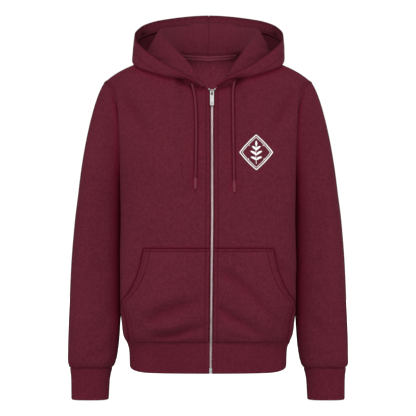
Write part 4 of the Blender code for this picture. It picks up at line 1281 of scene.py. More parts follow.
# %% Folds of the pockets
POCKET_FOLDS = {
    "right": (
        (-0.132, -0.584, -0.086, -0.560, -0.016, -0.538, 0.0135, 0.0092, 0.50),
        (-0.116, -0.614, -0.064, -0.606, -0.008, -0.589, 0.0105, 0.0078, 0.55),
        (-0.040, -0.578, -0.024, -0.574, -0.008, -0.573, 0.0040, 0.0010, -0.8),
        (-0.150, -0.590, -0.120, -0.606, -0.075, -0.612, 0.0080, 0.0016, 0.50),
        (-0.110, -0.470, -0.070, -0.500, -0.035, -0.505, 0.0180, 0.0012, 0.50),
    ),
    "left": (
        (0.024, -0.476, 0.070, -0.503, 0.152, -0.588, 0.0135, 0.0130, -0.30),
        (0.014, -0.546, 0.060, -0.576, 0.118, -0.611, 0.0130, 0.0118, -0.30),
        (0.035, -0.604, 0.068, -0.614, 0.105, -0.618, 0.0070, 0.0026, -0.40),
        (0.070, -0.455, 0.100, -0.480, 0.125, -0.530, 0.0160, 0.0012, 0.40),
    ),
}


def level_of(u, z):
    return (z - hem_seam(u)) / (UNDERARM - hem_seam(u))


def upper_side(points):
    return ramp(points[..., 2], POCKET_CORNER, 0.004)


def lower_side(points):
    return ramp(POCKET_CORNER, points[..., 2], 0.004)


class PocketSide(Edge):
    """The hand opening's hem above the corner, and the sewn side below it."""

    def lift(self, distance, points):
        mouth = Edge(roll=0.0, stitches=(MOUTH_HEM,), where=upper_side, pull=1.6)
        sewn = Edge(roll=0.0, stitches=(SIDE_HEM,), where=lower_side, pull=1.3)
        return mouth.lift(distance, points) + sewn.lift(distance, points)


print("rows of pocket folds:", len(POCKET_FOLDS["right"]))

# %% Sew the pockets
for side, sign in SIDES.items():

    def pocket(share, up, sign=sign):
        reach = pocket_reach(POCKET_FOOT + (POCKET_TOP - POCKET_FOOT) * up)
        x = POCKET_EDGE + (reach - POCKET_EDGE) * share
        z = POCKET_FOOT + (POCKET_TOP - POCKET_FOOT) * up
        u = RIDGE * np.arcsin(np.minimum(x / torso_size("side", z), 1)) / (math.pi / 2)
        foot = hem_seam(u) + 0.0008
        z = foot + (POCKET_TOP - foot) * up
        return body_point("front", sign, u, level_of(u, z))

    def pocket_lift(points, distances, side=side, sign=sign):
        share = distances[0] / (distances[0] + distances[1])
        up = distances[2] / (distances[2] + distances[3])
        full = np.sin(math.pi * up**0.8) ** 0.7 * np.sin(math.pi * share) ** 0.7
        rise = ramp(points[..., 2], POCKET_CORNER, POCKET_TOP - POCKET_CORNER)
        mouth = np.sin(math.pi * rise) ** 0.7 * share**4
        lift = POCKET_LIFT + POCKET_BULGE * full + POCKET_MOUTH * mouth
        inside = ramp(np.minimum.reduce(distances), 0, 0.012)
        return lift + fold_lift(points[..., [0, 2]], POCKET_FOLDS[side]) * inside

    edges = (
        Edge(roll=0.0, stitches=(EDGE_STITCH - POCKET_EDGE + EDGE_TO_ZIP,)),
        PocketSide(stitches=(SIDE_HEM, MOUTH_HEM)),
        Edge(roll=0.0008),
        Edge(roll=0.0, stitches=(POCKET_STITCH,), pull=1.4),
    )
    panels["pocket_" + side] = sew_panel(
        f"pocket_cloth_{side}", pocket, np.linspace(0, 1, 200), np.linspace(0, 1, 240), sign,
        edges, fleece, pocket_lift, out=FLEECE, step=0.0025, replaced=f"pocket_{side}",
    )

# %% [markdown]
# ## Ribbed bands
# The hem and the cuffs are rib knit: columns of raised stitches, 5 mm apart, that let the
# band stretch and spring back. Here each rib is a real ridge, 0.4 or 0.5 mm high. The
# band is one long strip, so its rows are set along the body's outline at even distances.

# %% Rib helper
RIB_PITCH = 0.0050
HEM_RIB_HEIGHT = 0.0004
CUFF_RIB_HEIGHT = 0.0005
POINTS_PER_RIB = 6
BAND_ROWS = (0, 0.003, 0.008, 0.016, 0.03, 0.07, 0.2, 0.4, 0.6, 0.78, 0.9, 0.955, 0.98, 0.993, 1.0)


def rib_band(name, outline_at, outward, rib_height, closed, edge_stitch, replaced):
    """outline_at(level) is the band's outline, from its bottom edge, 0, to its seam, 1."""
    ribs = round(lengths_along(outline_at(0.5))[-1] / RIB_PITCH)
    count = ribs * POINTS_PER_RIB + 1
    points = np.array([spaced(outline_at(level), count) for level in BAND_ROWS])
    phase = 2 * math.pi * np.arange(count) / POINTS_PER_RIB
    along, left = distances_in(points)
    from_end = np.minimum(along, left)
    from_bottom, from_top = (d.T for d in distances_in(points.swapaxes(0, 1)))
    lift = np.tile(rib_height * (0.5 - 0.5 * np.cos(phase)), (len(points), 1))
    lift *= np.clip(from_bottom / 0.003, 0.25, 1) * ramp(from_top, 0, 0.004)
    lift -= 0.0010 * np.maximum(1 - from_top / ROLL_REACH, 0) ** 2
    if edge_stitch:
        lift -= GROOVE_DEPTH * bell(from_end - edge_stitch, 1.5 * GROOVE_HALF)
    lift += 0.7 * gathers(along + 0.01, from_top)
    normals = grid_normals(points, outward)
    shaped = points + normals * lift[..., None]
    rims = (from_bottom, from_top) if closed else (from_bottom, from_top, from_end)
    rounding = rim_rounding(np.minimum.reduce(rims), FLEECE)
    outer = shaped - normals * rounding
    inner = points - normals * (FLEECE - rounding)
    if closed:
        for grid in (outer, inner):
            grid[:, -1] = grid[:, 0]
    piece = add_wall(name, points, outer, inner, outward, rib)
    if closed:
        shape = bmesh.new()
        shape.from_mesh(piece.data)
        ends = [f for f in shape.faces if all(v.index % count in (0, count - 1) for v in f.verts)]
        bmesh.ops.delete(shape, geom=ends, context="FACES_ONLY")
        bmesh.ops.remove_doubles(shape, verts=shape.verts, dist=1e-6)
        shape.to_mesh(piece.data)
        shape.free()
    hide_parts(replaced)
    print(f"{name}: {ribs} ribs")
    return {"piece": piece, "outer": outer, "normals": normals}


# %% Knit the hem and the cuffs
HEM_RISE = 0.0150
HEM_BACK_SHARE = 0.7


def hem_outline(level):
    first = float(round_of(EDGE_TO_ZIP))
    line = []
    for face, side, start, end in (
        ("front", -1, first, 1), ("back", -1, 1, 0), ("back", 1, 0, 1), ("front", 1, 1, first)
    ):
        u = np.linspace(start, end, 160)
        rise = HEM_RISE * (1 if face == "front" else HEM_BACK_SHARE)
        bottom = HEM_BOTTOM + rise * ramp(u, 0.42, 0.42) ** 2
        z = bottom + (hem_seam(u) - bottom) * level
        points = level_section(face, u, z) * np.array((side, 1, 1))
        points[:, 0] += lean(*points.T)
        line.append(points[(1 if line else 0):])
    return np.concatenate(line)


bands = {
    "hem": rib_band("hem_band", hem_outline, -1, HEM_RIB_HEIGHT, False, EDGE_STITCH, "hem_rib")
}
for side, sign in SIDES.items():

    def cuff_outline(level, sign=sign):
        z = CUFF_BOTTOM + (CUFF_SEAM - CUFF_BOTTOM) * level
        w = np.linspace(0, 1, 241)
        return arm_ring(CUFF, sign, np.full_like(w, z), w)

    bands["cuff_" + side] = rib_band(
        f"cuff_band_{side}", cuff_outline, sign, CUFF_RIB_HEIGHT, True, 0, f"cuff_{side}"
    )

# %% [markdown]
# ### Seams
# Where a rib band meets the fleece, the overlocked seam shows as a thin raised bead between
# two furrows. At the other seams the turned-in edges are a flat strip under the cloth. Both
# are a flat oval outline swept along the seam.

# %% Beads and turned-in edges
BEAD = (0.0014, 0.0009)
BEAD_SINK = -0.0007
ALLOWANCE = (0.0024, 0.0008)
ALLOWANCE_SINK = 0.0018


def seam_cord(name, line, normals, outline, sink, closed=False):
    """Sweeps a bead, or the turned-in edges, along a seam. A sink below 0 raises it."""
    normals = unit(np.asarray(normals, float))
    return sweep(name, line - normals * sink, normals, round_outline(*outline, 8), fleece, closed)


def allowance(name, line, normals, sink=ALLOWANCE_SINK, closed=False):
    return seam_cord(name, line, normals, ALLOWANCE, sink, closed)


for side, sign in SIDES.items():
    round_arm = np.linspace(0, 1, 120, endpoint=False)
    loop = sleeve_point(sign, round_arm, np.full_like(round_arm, 2.0))
    away = loop - loop.mean(axis=0)
    away[:, 0] = sign * 0.03
    allowance(f"armhole_seam_{side}", loop, away, closed=True)
    ends = (float(round_of(0.083)), 1.0)
    shoulder = top_edge(YOKES["front"], np.linspace(*ends, 60)) * np.array((sign, 1, 1))
    allowance(f"shoulder_seam_{side}", shoulder, np.tile((0, 0, 1.0), (60, 1)))
    up_side = np.linspace(0, 1, 90)
    side_line = body_point("front", sign, np.ones_like(up_side), up_side)
    allowance(f"side_seam_{side}", side_line, np.tile((sign, 0, 0.0), (90, 1)))
    arm_line = sleeve_point(sign, np.zeros_like(up_side), 1.95 * up_side)
    arm_line[:, 0] -= sign * SLEEVE_CLOSE * ramp(arm_line[:, 2], CLOSE_FOOT, CLOSE_FADE)
    allowance(f"sleeve_seam_{side}", arm_line, np.tile((-sign, 0, 0.0), (90, 1)))

steps = np.linspace(0.02, 2.995, 160)
middle_line = hood_point(1, np.full_like(steps, 2.0), steps)
hood_out = panels["hood_left"]["normals"][:, -1]
picked = np.linspace(0, len(hood_out) - 1, 160).round().astype(int)
allowance("hood_seam", middle_line, hood_out[picked], 0.0)
along_neck = np.linspace(HOOD_FIRST, 2, 140)
half_neck = neckline(along_neck)
whole_neck = np.concatenate([half_neck * np.array((-1, 1, 1)), half_neck[-2::-1]])
whole_neck[:, 0] += lean(*whole_neck.T)
outward_neck = whole_neck * np.array((1, 1, 0)) - np.array((0, 0.03, 0))
allowance("neck_seam", whole_neck + np.array((0, 0, 0.0008)), outward_neck, 0.0010)
hem = bands["hem"]
seam_cord("hem_seam_bead", hem["outer"][-1][::6], hem["normals"][-1][::6], BEAD, BEAD_SINK)
for side in SIDES:
    line, out = (bands["cuff_" + side][part][-1][:-1:6] for part in ("outer", "normals"))
    seam_cord(f"cuff_seam_bead_{side}", line, out, BEAD, BEAD_SINK, True)
print("seams:", [piece.name for piece in PIECES if "_seam" in piece.name])

# %% [markdown]
# ## Tapes
# A narrow tape covers the neck seam inside the back, where it would rub. The zip is woven on
# two more tapes behind the front edges, and a sliver of each shows beside the teeth.

# %% Neck tape and zip tapes
TAPE = 0.0010
TAPE_HALF = 0.0130
TAPE_DEPTH = 0.0025
NECK_TAPE_DEPTH = 0.0032
NECK_TAPE_REACH = 0.19
PLAIN = Edge(roll=0.0)


def zip_x(z):
    return np.interp(z, *np.array(sorted(ZIP_LEAN)).T)


def zip_place(x, v):
    """A point of the closed front's surface, x to the side of the zip."""
    height = body_point("front", 1, np.zeros_like(v), v)[..., 2]
    u = RIDGE * np.arcsin(np.abs(x) / torso_size("side", height)) / (math.pi / 2)
    point = body_point("front", 1, u, v)
    point[..., 0] = zip_x(point[..., 2]) + x
    return point


panels["neck_tape"] = sew_panel(
    "neck_tape_cloth", back, np.linspace(-NECK_TAPE_REACH, NECK_TAPE_REACH, 200),
    np.linspace(1.935, 1.985, 20), 1, (PLAIN, PLAIN, Edge(0.0, (0.0012,)), Edge(0.0, (0.0012,))),
    neck_tape, thick=TAPE, out=-NECK_TAPE_DEPTH, step=0.0020, replaced="neck_tape",
)
FOOT_LEVEL = (HEM_BOTTOM + 0.0005 - HEM_SEAM) / (UNDERARM - HEM_SEAM)
for side, sign in SIDES.items():

    def zip_tape(x, v, sign=sign):
        return zip_place(sign * x, v)

    panels["zip_tape_" + side] = sew_panel(
        f"zip_tape_cloth_{side}", zip_tape, np.linspace(0.0004, TAPE_HALF, 30),
        np.linspace(FOOT_LEVEL, 2, 500), sign, (PLAIN, PLAIN, PLAIN, PLAIN), tape,
        thick=TAPE, out=-TAPE_DEPTH, replaced=f"zip_tape_{side}",
    )

# %% [markdown]
# ## Zip
# One tooth is modelled: a cube narrowed at its head, with its edges bevelled. It is then set
# down once every 3.4 mm on each tape, the left row half a step off the right one, so that
# the heads mesh. The slider is a second cube with a ring for its bail. Its tab, the stops and
# the box are the solids, with rounded edges.

# %% One zip tooth
TOOTH_REACH = 0.0028
TOOTH_HEIGHT = 0.0014
TOOTH_DEPTH = 0.0020
HEAD_REACH = 0.0006
HEAD_SHARE = 0.62
TOOTH_PITCH = 0.0034
TOOTH_BEVEL = 0.00028


def new_cube(name, size):
    bpy.ops.object.select_all(action="DESELECT")
    bpy.ops.mesh.primitive_cube_add(size=1, location=(0, 0, 0))
    cube = bpy.context.object
    cube.name = name
    cube.scale = size
    bpy.ops.object.transform_apply(location=False, rotation=False, scale=True)
    return cube


def edit_faces(piece, chosen):
    """Goes into edit mode with the faces selected whose normals are chosen."""
    bpy.ops.object.mode_set(mode="EDIT")
    bpy.ops.mesh.select_mode(type="FACE")
    bpy.ops.mesh.select_all(action="DESELECT")
    bpy.ops.object.mode_set(mode="OBJECT")
    for face in piece.data.polygons:
        face.select = chosen(face.normal)
    bpy.ops.object.mode_set(mode="EDIT")


tooth = new_cube("zip_tooth", (TOOTH_REACH, TOOTH_DEPTH, TOOTH_HEIGHT))
edit_faces(tooth, lambda normal: normal.x < -0.9)
bpy.ops.mesh.extrude_region_move(TRANSFORM_OT_translate={"value": (-HEAD_REACH, 0, 0)})
bpy.ops.transform.resize(value=(1, 0.8, HEAD_SHARE))
bpy.ops.object.mode_set(mode="OBJECT")
bevel = tooth.modifiers.new("round_edges", "BEVEL")
bevel.width = TOOTH_BEVEL
bevel.segments = 1
bpy.ops.object.modifier_apply(modifier="round_edges")
tooth_points = np.array([vertex.co[:] for vertex in tooth.data.vertices])
tooth_faces = [tuple(face.vertices) for face in tooth.data.polygons]
bpy.data.objects.remove(tooth)
print("faces on a tooth:", len(tooth_faces))

# %% Set the teeth and finish the metal
CHAIN_FOOT = -0.680
CHAIN_TOP = -0.0941
TOOTH_CENTRE = 0.0010
TOOTH_OUT = -0.0005

levels = np.linspace(FOOT_LEVEL, 2, 4000)
centre_line = zip_place(np.zeros_like(levels), levels)
inside_chain = (centre_line[:, 2] > CHAIN_FOOT) & (centre_line[:, 2] < CHAIN_TOP)
chain_line = centre_line[inside_chain]
run = lengths_along(chain_line)
for side, sign in SIDES.items():
    start = TOOTH_PITCH * (0.25 if sign > 0 else 0.75)
    at = np.arange(start, run[-1] - 0.0006, TOOTH_PITCH)
    spots, above = (
        np.stack([np.interp(at + more, run, chain_line[:, axis]) for axis in range(3)], axis=1)
        for more in (0, 0.001)
    )
    up = unit(above - spots + np.array((0, 0, 1e-7)))
    out = unit(np.cross(np.tile((1.0, 0, 0), (len(up), 1)), up))
    x, y, z = (tooth_points * np.array((sign, 1, 1))).T
    points = (
        spots[:, None] + np.array((sign * TOOTH_CENTRE, 0, 0))
        + x[None, :, None] * np.array((1.0, 0, 0)) - y[None, :, None] * out[:, None]
        + z[None, :, None] * up[:, None] + out[:, None] * TOOTH_OUT
    )
    turned = [f if sign > 0 else f[::-1] for f in tooth_faces]
    faces = [tuple(i + n * len(tooth_points) for i in f) for n in range(len(spots)) for f in turned]
    teeth = add_mesh(f"zip_teeth_{side}", points, faces, tooth_metal)
    teeth.data.shade_flat()
    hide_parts("zip_chain")
    print(f"zip_teeth_{side}:", len(spots), "teeth")

# %% Slider and the small metal parts
SLIDER_AT = -0.0885
SLIDER_TOP_WIDTH = 0.0088
SLIDER_LENGTH = 0.0100
SLIDER_THICK = 0.0021
SLIDER_OUT = 0.0021
FOOT_SHARE = 0.72
FACE_INSET = 0.0012
FACE_SINK = 0.0003
SLIDER_BEVEL = 0.0006
SMALL_BEVEL = 0.00025
BAIL_RADIUS = 0.0034
BAIL_WIRE = 0.0007
BAIL_SHAPE = (0.9, 1.15, 1)


def zip_frame(z):
    """A frame on the centre front: x across, y up the zip and z out of the cloth."""
    heights = (z, z + 0.002)
    at, above = (Vector(spot) for spot in np.stack(
        [np.interp(heights, centre_line[:, 2], centre_line[:, axis]) for axis in range(3)], axis=1
    ))
    up = (above - at).normalized()
    across = Vector((1, 0, 0))
    out = across.cross(up).normalized()
    matrix = Matrix((across, up, out)).transposed().to_4x4()
    matrix.translation = at
    return matrix


def soften_edges(piece, width):
    soften = piece.modifiers.new("soft_edges", "BEVEL")
    soften.width, soften.segments, soften.limit_method = width, 2, "ANGLE"


slider = new_cube("zip_slider_body", (SLIDER_TOP_WIDTH, SLIDER_LENGTH, SLIDER_THICK))
edit_faces(slider, lambda normal: normal.y < -0.9)
bpy.ops.transform.resize(value=(FOOT_SHARE, 1, 1))
bpy.ops.object.mode_set(mode="OBJECT")
edit_faces(slider, lambda normal: normal.z > 0.9)
bpy.ops.mesh.inset(thickness=FACE_INSET, depth=-FACE_SINK)
bpy.ops.object.mode_set(mode="OBJECT")
soften_edges(slider, SLIDER_BEVEL)
bpy.ops.object.modifier_apply(modifier="soft_edges")
bpy.ops.object.select_all(action="DESELECT")
bpy.ops.mesh.primitive_torus_add(
    major_radius=BAIL_RADIUS, minor_radius=BAIL_WIRE, major_segments=20, minor_segments=6,
    location=(0, 0, SLIDER_THICK / 2), rotation=(0, math.pi / 2, 0),
)
bail = bpy.context.object
bail.scale = BAIL_SHAPE
bpy.ops.object.transform_apply(location=True, rotation=True, scale=True)
slider.select_set(True)
bpy.context.view_layer.objects.active = slider
bpy.ops.object.join()
slider.data.transform(zip_frame(SLIDER_AT) @ Matrix.Translation((0, 0, SLIDER_OUT)))
slider.data.materials.clear()
slider.data.materials.append(slider_metal)
slider.data.shade_smooth()
slider.data.set_sharp_from_angle(angle=math.radians(40))
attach(slider, "garment")
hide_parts("zip_slider")

for name in ("pull_tab", "zip_stop_left", "zip_stop_right", "zip_box"):
    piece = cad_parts[name]
    piece.data.materials.clear()
    piece.data.materials.append(nickel)
    soften_edges(piece, SMALL_BEVEL)
print("metal parts:", 5)

# %% [markdown]
# ## Topstitching
# Each row of stitches follows a line at an exact distance from a panel's edge, in the groove
# that its thread draws. A stitch is a small lozenge of thread, 2.5 mm long, sunk at both ends.

# %% Stitch rows
STITCH_LENGTH = 0.0025
STITCH_PITCH = 0.0032
THREAD_HALF = 0.00042
THREAD_SIDES = 5
STITCH_RINGS = ((-0.5, 0.0), (-0.34, 0.75), (0.0, 1.0), (0.34, 0.75), (0.5, 0.0))


def line_inside(panel, edge, at):
    """The line at a distance from edge 0 start, 1 end, 2 bottom or 3 top, and its normals."""
    grid, normals = panel["outer"], panel["normals"]
    distance = panel["distances"][edge]
    if edge > 1:
        grid, normals, distance = grid.swapaxes(0, 1), normals.swapaxes(0, 1), distance.T
    if edge in (1, 3):
        grid, normals, distance = grid[:, ::-1], normals[:, ::-1], distance[:, ::-1]
    line, out = [], []
    for points, facing, gone in zip(grid, normals, distance):
        line.append([np.interp(at, gone, points[:, axis]) for axis in range(3)])
        out.append([np.interp(at, gone, facing[:, axis]) for axis in range(3)])
    return np.array(line), unit(np.array(out))


def stitches(name, rows):
    """One mesh of thread stitches along several (line, normals) rows."""
    corners, faces = [], []
    sides = THREAD_SIDES
    turns = np.linspace(0, 2 * math.pi, sides, endpoint=False)
    for line, normals in rows:
        along = lengths_along(line)
        at = np.arange(STITCH_PITCH / 2, along[-1] - STITCH_PITCH / 2, STITCH_PITCH)
        middle, ahead, out = (
            np.stack([np.interp(at + more, along, data[:, axis]) for axis in range(3)], axis=1)
            for more, data in ((0, line), (0.0006, line), (0, normals))
        )
        ahead, out = unit(ahead - middle), unit(out)
        across = np.cross(ahead, out)
        for spot, forward, sideways, up in zip(middle, ahead, across, out):
            first = len(corners)
            for share, size in STITCH_RINGS:
                centre = spot + forward * share * STITCH_LENGTH + up * (0.0004 * size - 0.0001)
                if size == 0:
                    corners.append(centre)
                    continue
                for turn in turns:
                    swing = sideways * math.cos(turn) + up * math.sin(turn)
                    corners.append(centre + swing * THREAD_HALF * size)
            last = first + 3 * sides + 1
            for k in range(sides):
                n = (k + 1) % sides
                faces.append((first, first + 1 + n, first + 1 + k))
                for ring in (first + 1, first + 1 + sides):
                    faces.append((ring + k, ring + n, ring + sides + n, ring + sides + k))
                faces.append((last - sides + k, last - sides + n, last))
    piece = add_mesh(name, corners, faces, thread)
    print(f"{name}: {len(faces) // 20} stitches")
    return piece


def kept(row, keep):
    line, normals = row
    shown = keep(line)
    return line[shown], normals[shown]


for side, sign in SIDES.items():
    body = panels["front_" + side]
    armhole = kept(line_inside(body, 1, ARMHOLE_STITCH), lambda p: p[:, 2] > UNDERARM + 0.01)
    neck = kept(line_inside(body, 3, NECK_STITCH), lambda p: np.abs(p[:, 0]) < 0.076)
    edge_row = kept(line_inside(body, 0, EDGE_STITCH), lambda p: p[:, 2] > POCKET_TOP + 0.001)
    stitches(f"front_stitches_{side}", [armhole, neck, edge_row])
    pocket_panel = panels["pocket_" + side]
    mouth = kept(line_inside(pocket_panel, 1, MOUTH_HEM), lambda p: p[:, 2] > POCKET_CORNER)
    lower = kept(line_inside(pocket_panel, 1, SIDE_HEM), lambda p: p[:, 2] < POCKET_CORNER)
    top = line_inside(pocket_panel, 3, POCKET_STITCH)
    front_row = line_inside(pocket_panel, 0, EDGE_STITCH - POCKET_EDGE + EDGE_TO_ZIP)
    stitches(f"pocket_stitches_{side}", [mouth, lower, top, front_row])
    rim_row = line_inside(panels["hood_" + side], 3, RIM_STITCH)
    stitches(f"hood_stitches_{side}", [rim_row])
back_rows = [
    kept(line_inside(panels["back"], edge, ARMHOLE_STITCH), lambda p: p[:, 2] > UNDERARM + 0.01)
    for edge in (0, 1)
]
stitches("back_stitches", [*back_rows, line_inside(panels["back"], 3, NECK_STITCH)])

# %% [markdown]
# ## Chest print
# A thin white line drawing sits high on the wearer's left chest: a sprig of leaves in a
# double lozenge. Every line is a flat ribbon of ink, dropped on to the cloth from the front
# and laid along it, so it bends with the chest.

# %% Chest print
PRINT_X = 0.1033
PRINT_Z = -0.2198
INK_THICK = 0.00012
INK_STEP = 0.0010
INK_OFF = 0.00002
INK_SHOULDER = 0.85


def lozenge(half_width, half_height, bulge=0.06):
    top, right = (0, half_height), (half_width, 0)
    corners = (top, right, (0, -half_height), (-half_width, 0), top)
    line = []
    for (ax, az), (bx, bz) in zip(corners, corners[1:]):
        t = np.linspace(0, 1, 30, endpoint=False)
        swell = 1 + bulge * np.sin(math.pi * t)
        line.extend(zip((ax + (bx - ax) * t) * swell, (az + (bz - az) * t) * swell))
    return np.array([*line, line[0]])


def stroke(x, z, turn, length, bend=0.0):
    """A line that starts at a point, turned by degrees from straight right, a little bent."""
    t = np.linspace(0, 1, 16)
    local = np.stack([t * length, bend * np.sin(math.pi * t)], axis=1)
    c, s = math.cos(math.radians(turn)), math.sin(math.radians(turn))
    return local @ np.array(((c, s), (-s, c))) + np.array((x, z))


def even(share):
    return np.ones_like(share)


def leaf(share):
    return np.sin(math.pi * np.clip(0.04 + 0.93 * share, 0, 1)) ** 0.75


RIBBON = ((-1.0, 0.0), (-INK_SHOULDER, INK_THICK), (INK_SHOULDER, INK_THICK), (1.0, 0.0))
drawing = [(lozenge(0.0352, 0.0372), 0.00105, even), (lozenge(0.0305, 0.0323), 0.00055, even)]
drawing.append((stroke(0, -0.0250, 90, 0.0400, 0.0010), 0.00060, even))
for z, length, rise in ((-0.0165, 0.0135, 28), (-0.0060, 0.0150, 34), (0.0045, 0.0125, 42)):
    for turn, bend in ((rise, 0.0012), (180 - rise, -0.0012)):
        drawing.append((stroke(0, z, turn, length, bend), 0.0024, leaf))
drawing.append((stroke(0, 0.0125, 90, 0.0125), 0.0022, leaf))
for x, z in ((0.0165, -0.0145), (-0.0165, -0.0145), (0.0150, 0.0150), (-0.0150, 0.0150)):
    drawing.append((stroke(x - 0.0011, z, 0, 0.0022), 0.0011, leaf))

chest = panels["front_left"]["piece"]
ground = BVHTree.FromObject(chest, bpy.context.evaluated_depsgraph_get())
corners, faces = [], []
for outline, half, taper in drawing:
    flat = np.column_stack([outline, np.zeros(len(outline))])
    count = max(int(lengths_along(flat)[-1] / INK_STEP), 8)
    flat = spaced(flat, count)
    spots, out = [], []
    for x, z, _ in flat:
        hit = ground.ray_cast(Vector((PRINT_X + x, -1, PRINT_Z + z)), Vector((0, 1, 0)))
        spots.append(hit[0][:])
        out.append(hit[1][:])
    spots, out = np.array(spots), unit(np.array(out))
    tangents = unit(np.gradient(spots, axis=0))
    if np.linalg.norm(spots[0] - spots[-1]) < 1e-5:
        tangents[0] = tangents[-1] = unit(tangents[0] + tangents[-1])
    widths = half * taper(np.linspace(0, 1, len(spots)))
    across = unit(np.cross(tangents, out)) * widths[:, None]
    first = len(corners)
    for spot, side_way, up in zip(spots, across, out):
        for a, b in RIBBON:
            corners.append(spot + side_way * a + up * (b + INK_OFF))
    for i in range(len(spots) - 1):
        a, b = first + 4 * i, first + 4 * i + 4
        for k in range(3):
            faces.append((a + k, a + k + 1, b + k + 1, b + k))
        faces.append((a + 3, a, b, b + 3))
    faces.append((first + 3, first + 2, first + 1, first))
    faces.append(tuple(len(corners) - 4 + k for k in range(4)))
chest_print = add_mesh("chest_print", corners, faces, white_ink)
face_outward(chest_print)
print("lines in the drawing:", len(drawing))

# %% [markdown]
# ## Shade painted into the hollows
# Shade is painted into the fleece's colour where cloth lies close to cloth, and along whatever is
# pressed into it. Each panel carries a number for each. For the first, rays are sent out from
# points spread over it, and those that soon meet the garment again are counted. The second is a
# painted dark line along furrows, stitches, seams, the pocket's edges, the cords and the sides of
# the pull tab. It is painted where the tab hangs at rest, so it stays there when the tab swings up.

# %% Measure the hollows
HOLLOW_REACH = 0.050
HOLLOW_RAYS = 24
HOLLOW_EVERY = 2
RAY_OFF = 0.0007
# Strength and width of the painted shade: in hollows, along seams and stitches, and as thin painted
# shadows beside the cords, pocket edges, pull tab and armholes
HOLLOW_SHARE = 0.85
SEAM_LINE = 0.0022
SEAM_SHARE = 0.9
STITCH_SHARE = 0.5
CONTACT_SHARE = 1.0
BESIDE_CORD = (CORD_RADIUS + 0.0006, 0.0018)  # how far off the dark line is, and how wide
BESIDE_POCKET = (0.0010, 0.0030)
OVER_POCKET = (0.0012, 0.0020)
BESIDE_TAB = (0.0008, 0.0022)
ARMHOLE_SHADE = 0.9
ARMHOLE_LINE = 0.0055
SUNK_BLUR = 5
SUNK_DEPTH = 0.0030
SUNK_SHARE = 0.55


def all_cloth():
    """One search tree over every piece that can lie close to the cloth."""
    points, faces, start = [], [], 0
    for piece in (*PIECES, slider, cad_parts["pull_tab"]):
        place = np.array(piece.matrix_world)
        flat = np.zeros(3 * len(piece.data.vertices))
        piece.data.vertices.foreach_get("co", flat)
        points.append(flat.reshape(-1, 3) @ place[:3, :3].T + place[:3, 3])
        faces += [[start + i for i in face.vertices] for face in piece.data.polygons]
        start += len(points[-1])
    return BVHTree.FromPolygons(np.concatenate(points).tolist(), faces)


def ray_fan(count):
    """Directions spread over a half sphere about +Z, closer together near its pole."""
    share = (np.arange(count) + 0.5) / count
    turn = np.arange(count) * math.pi * (3 - math.sqrt(5))
    flat = np.sqrt(share)
    return np.stack([flat * np.cos(turn), flat * np.sin(turn), np.sqrt(1 - share)], axis=1)


def closed_in(tree, points, normals):
    """How much of what a point faces is other cloth close by, from 0 to 1."""
    fan = ray_fan(HOLLOW_RAYS)
    aside = unit(np.cross(normals, (0.31, 0.17, 0.93)))
    along = np.cross(normals, aside)
    result = np.zeros(len(points))
    for i, (point, a, b, c) in enumerate(zip(points + normals * RAY_OFF, aside, along, normals)):
        start = Vector(point)
        for direction in fan @ np.stack([a, b, c]):
            distance = tree.ray_cast(start, Vector(direction), HOLLOW_REACH)[3]
            if distance is not None:
                result[i] += 1 - distance / HOLLOW_REACH
    return result / HOLLOW_RAYS


def blurred(grid, reach):
    for axis in (0, 1):
        kernel = np.hanning(2 * reach + 3)[1:-1]
        kernel /= kernel.sum()
        wide = np.pad(grid, [(reach, reach) if a == axis else (0, 0) for a in (0, 1)], mode="edge")
        grid = np.apply_along_axis(np.convolve, axis, wide, kernel, mode="valid")
    return grid


def stretched(coarse, rows, columns, shape):
    """A coarse grid's values at every row and column of the fine one."""
    wide = np.stack([np.interp(np.arange(shape[1]), columns, line) for line in coarse])
    return np.stack([np.interp(np.arange(shape[0]), rows, line) for line in wide.T], axis=1)


def set_hollow(tree, panel, shade):
    outer, normals = panel["outer"], panel["normals"]
    rows, columns = (
        np.unique(np.append(np.arange(0, count, HOLLOW_EVERY), count - 1))
        for count in outer.shape[:2]
    )
    pick = np.ix_(rows, columns)
    closed = closed_in(tree, outer[pick].reshape(-1, 3), normals[pick].reshape(-1, 3))
    closed = closed.reshape(len(rows), len(columns))
    # Painted shade where cloth faces cloth
    hollow_shade = HOLLOW_SHARE * stretched(closed, rows, columns, outer.shape[:2])
    sunk = (blurred(panel["height"], SUNK_BLUR) - panel["height"]) / SUNK_DEPTH
    from_seam = np.minimum.reduce(panel["distances"])
    # Painted shade in furrows, along stitches and, except on the pockets, along seams
    line = SUNK_SHARE * np.clip(sunk, 0, 1) + STITCH_SHARE * panel["stitched"]
    if not panel["piece"].name.startswith("pocket"):
        line += SEAM_SHARE * bell(from_seam, SEAM_LINE)
    for attribute, values in (("hollow_shade", hollow_shade), ("line_shade", line + shade)):
        shown = np.clip(values, 0, 1).ravel()
        layer = panel["piece"].data.attributes.new(attribute, "FLOAT", "POINT")
        layer.data.foreach_set("value", np.concatenate([shown, 0 * shown]).astype(np.float32))
    return hollow_shade.mean()


def beside(points, line, away, width):
    """1 at a distance away from a line on the cloth, seen from the front, and less beside that."""
    near = np.full(points.shape[:2], 1.0)
    for x, _, z in line:
        near = np.minimum(near, np.hypot(points[..., 0] - x, points[..., 2] - z))
    return bell(near - away, width)


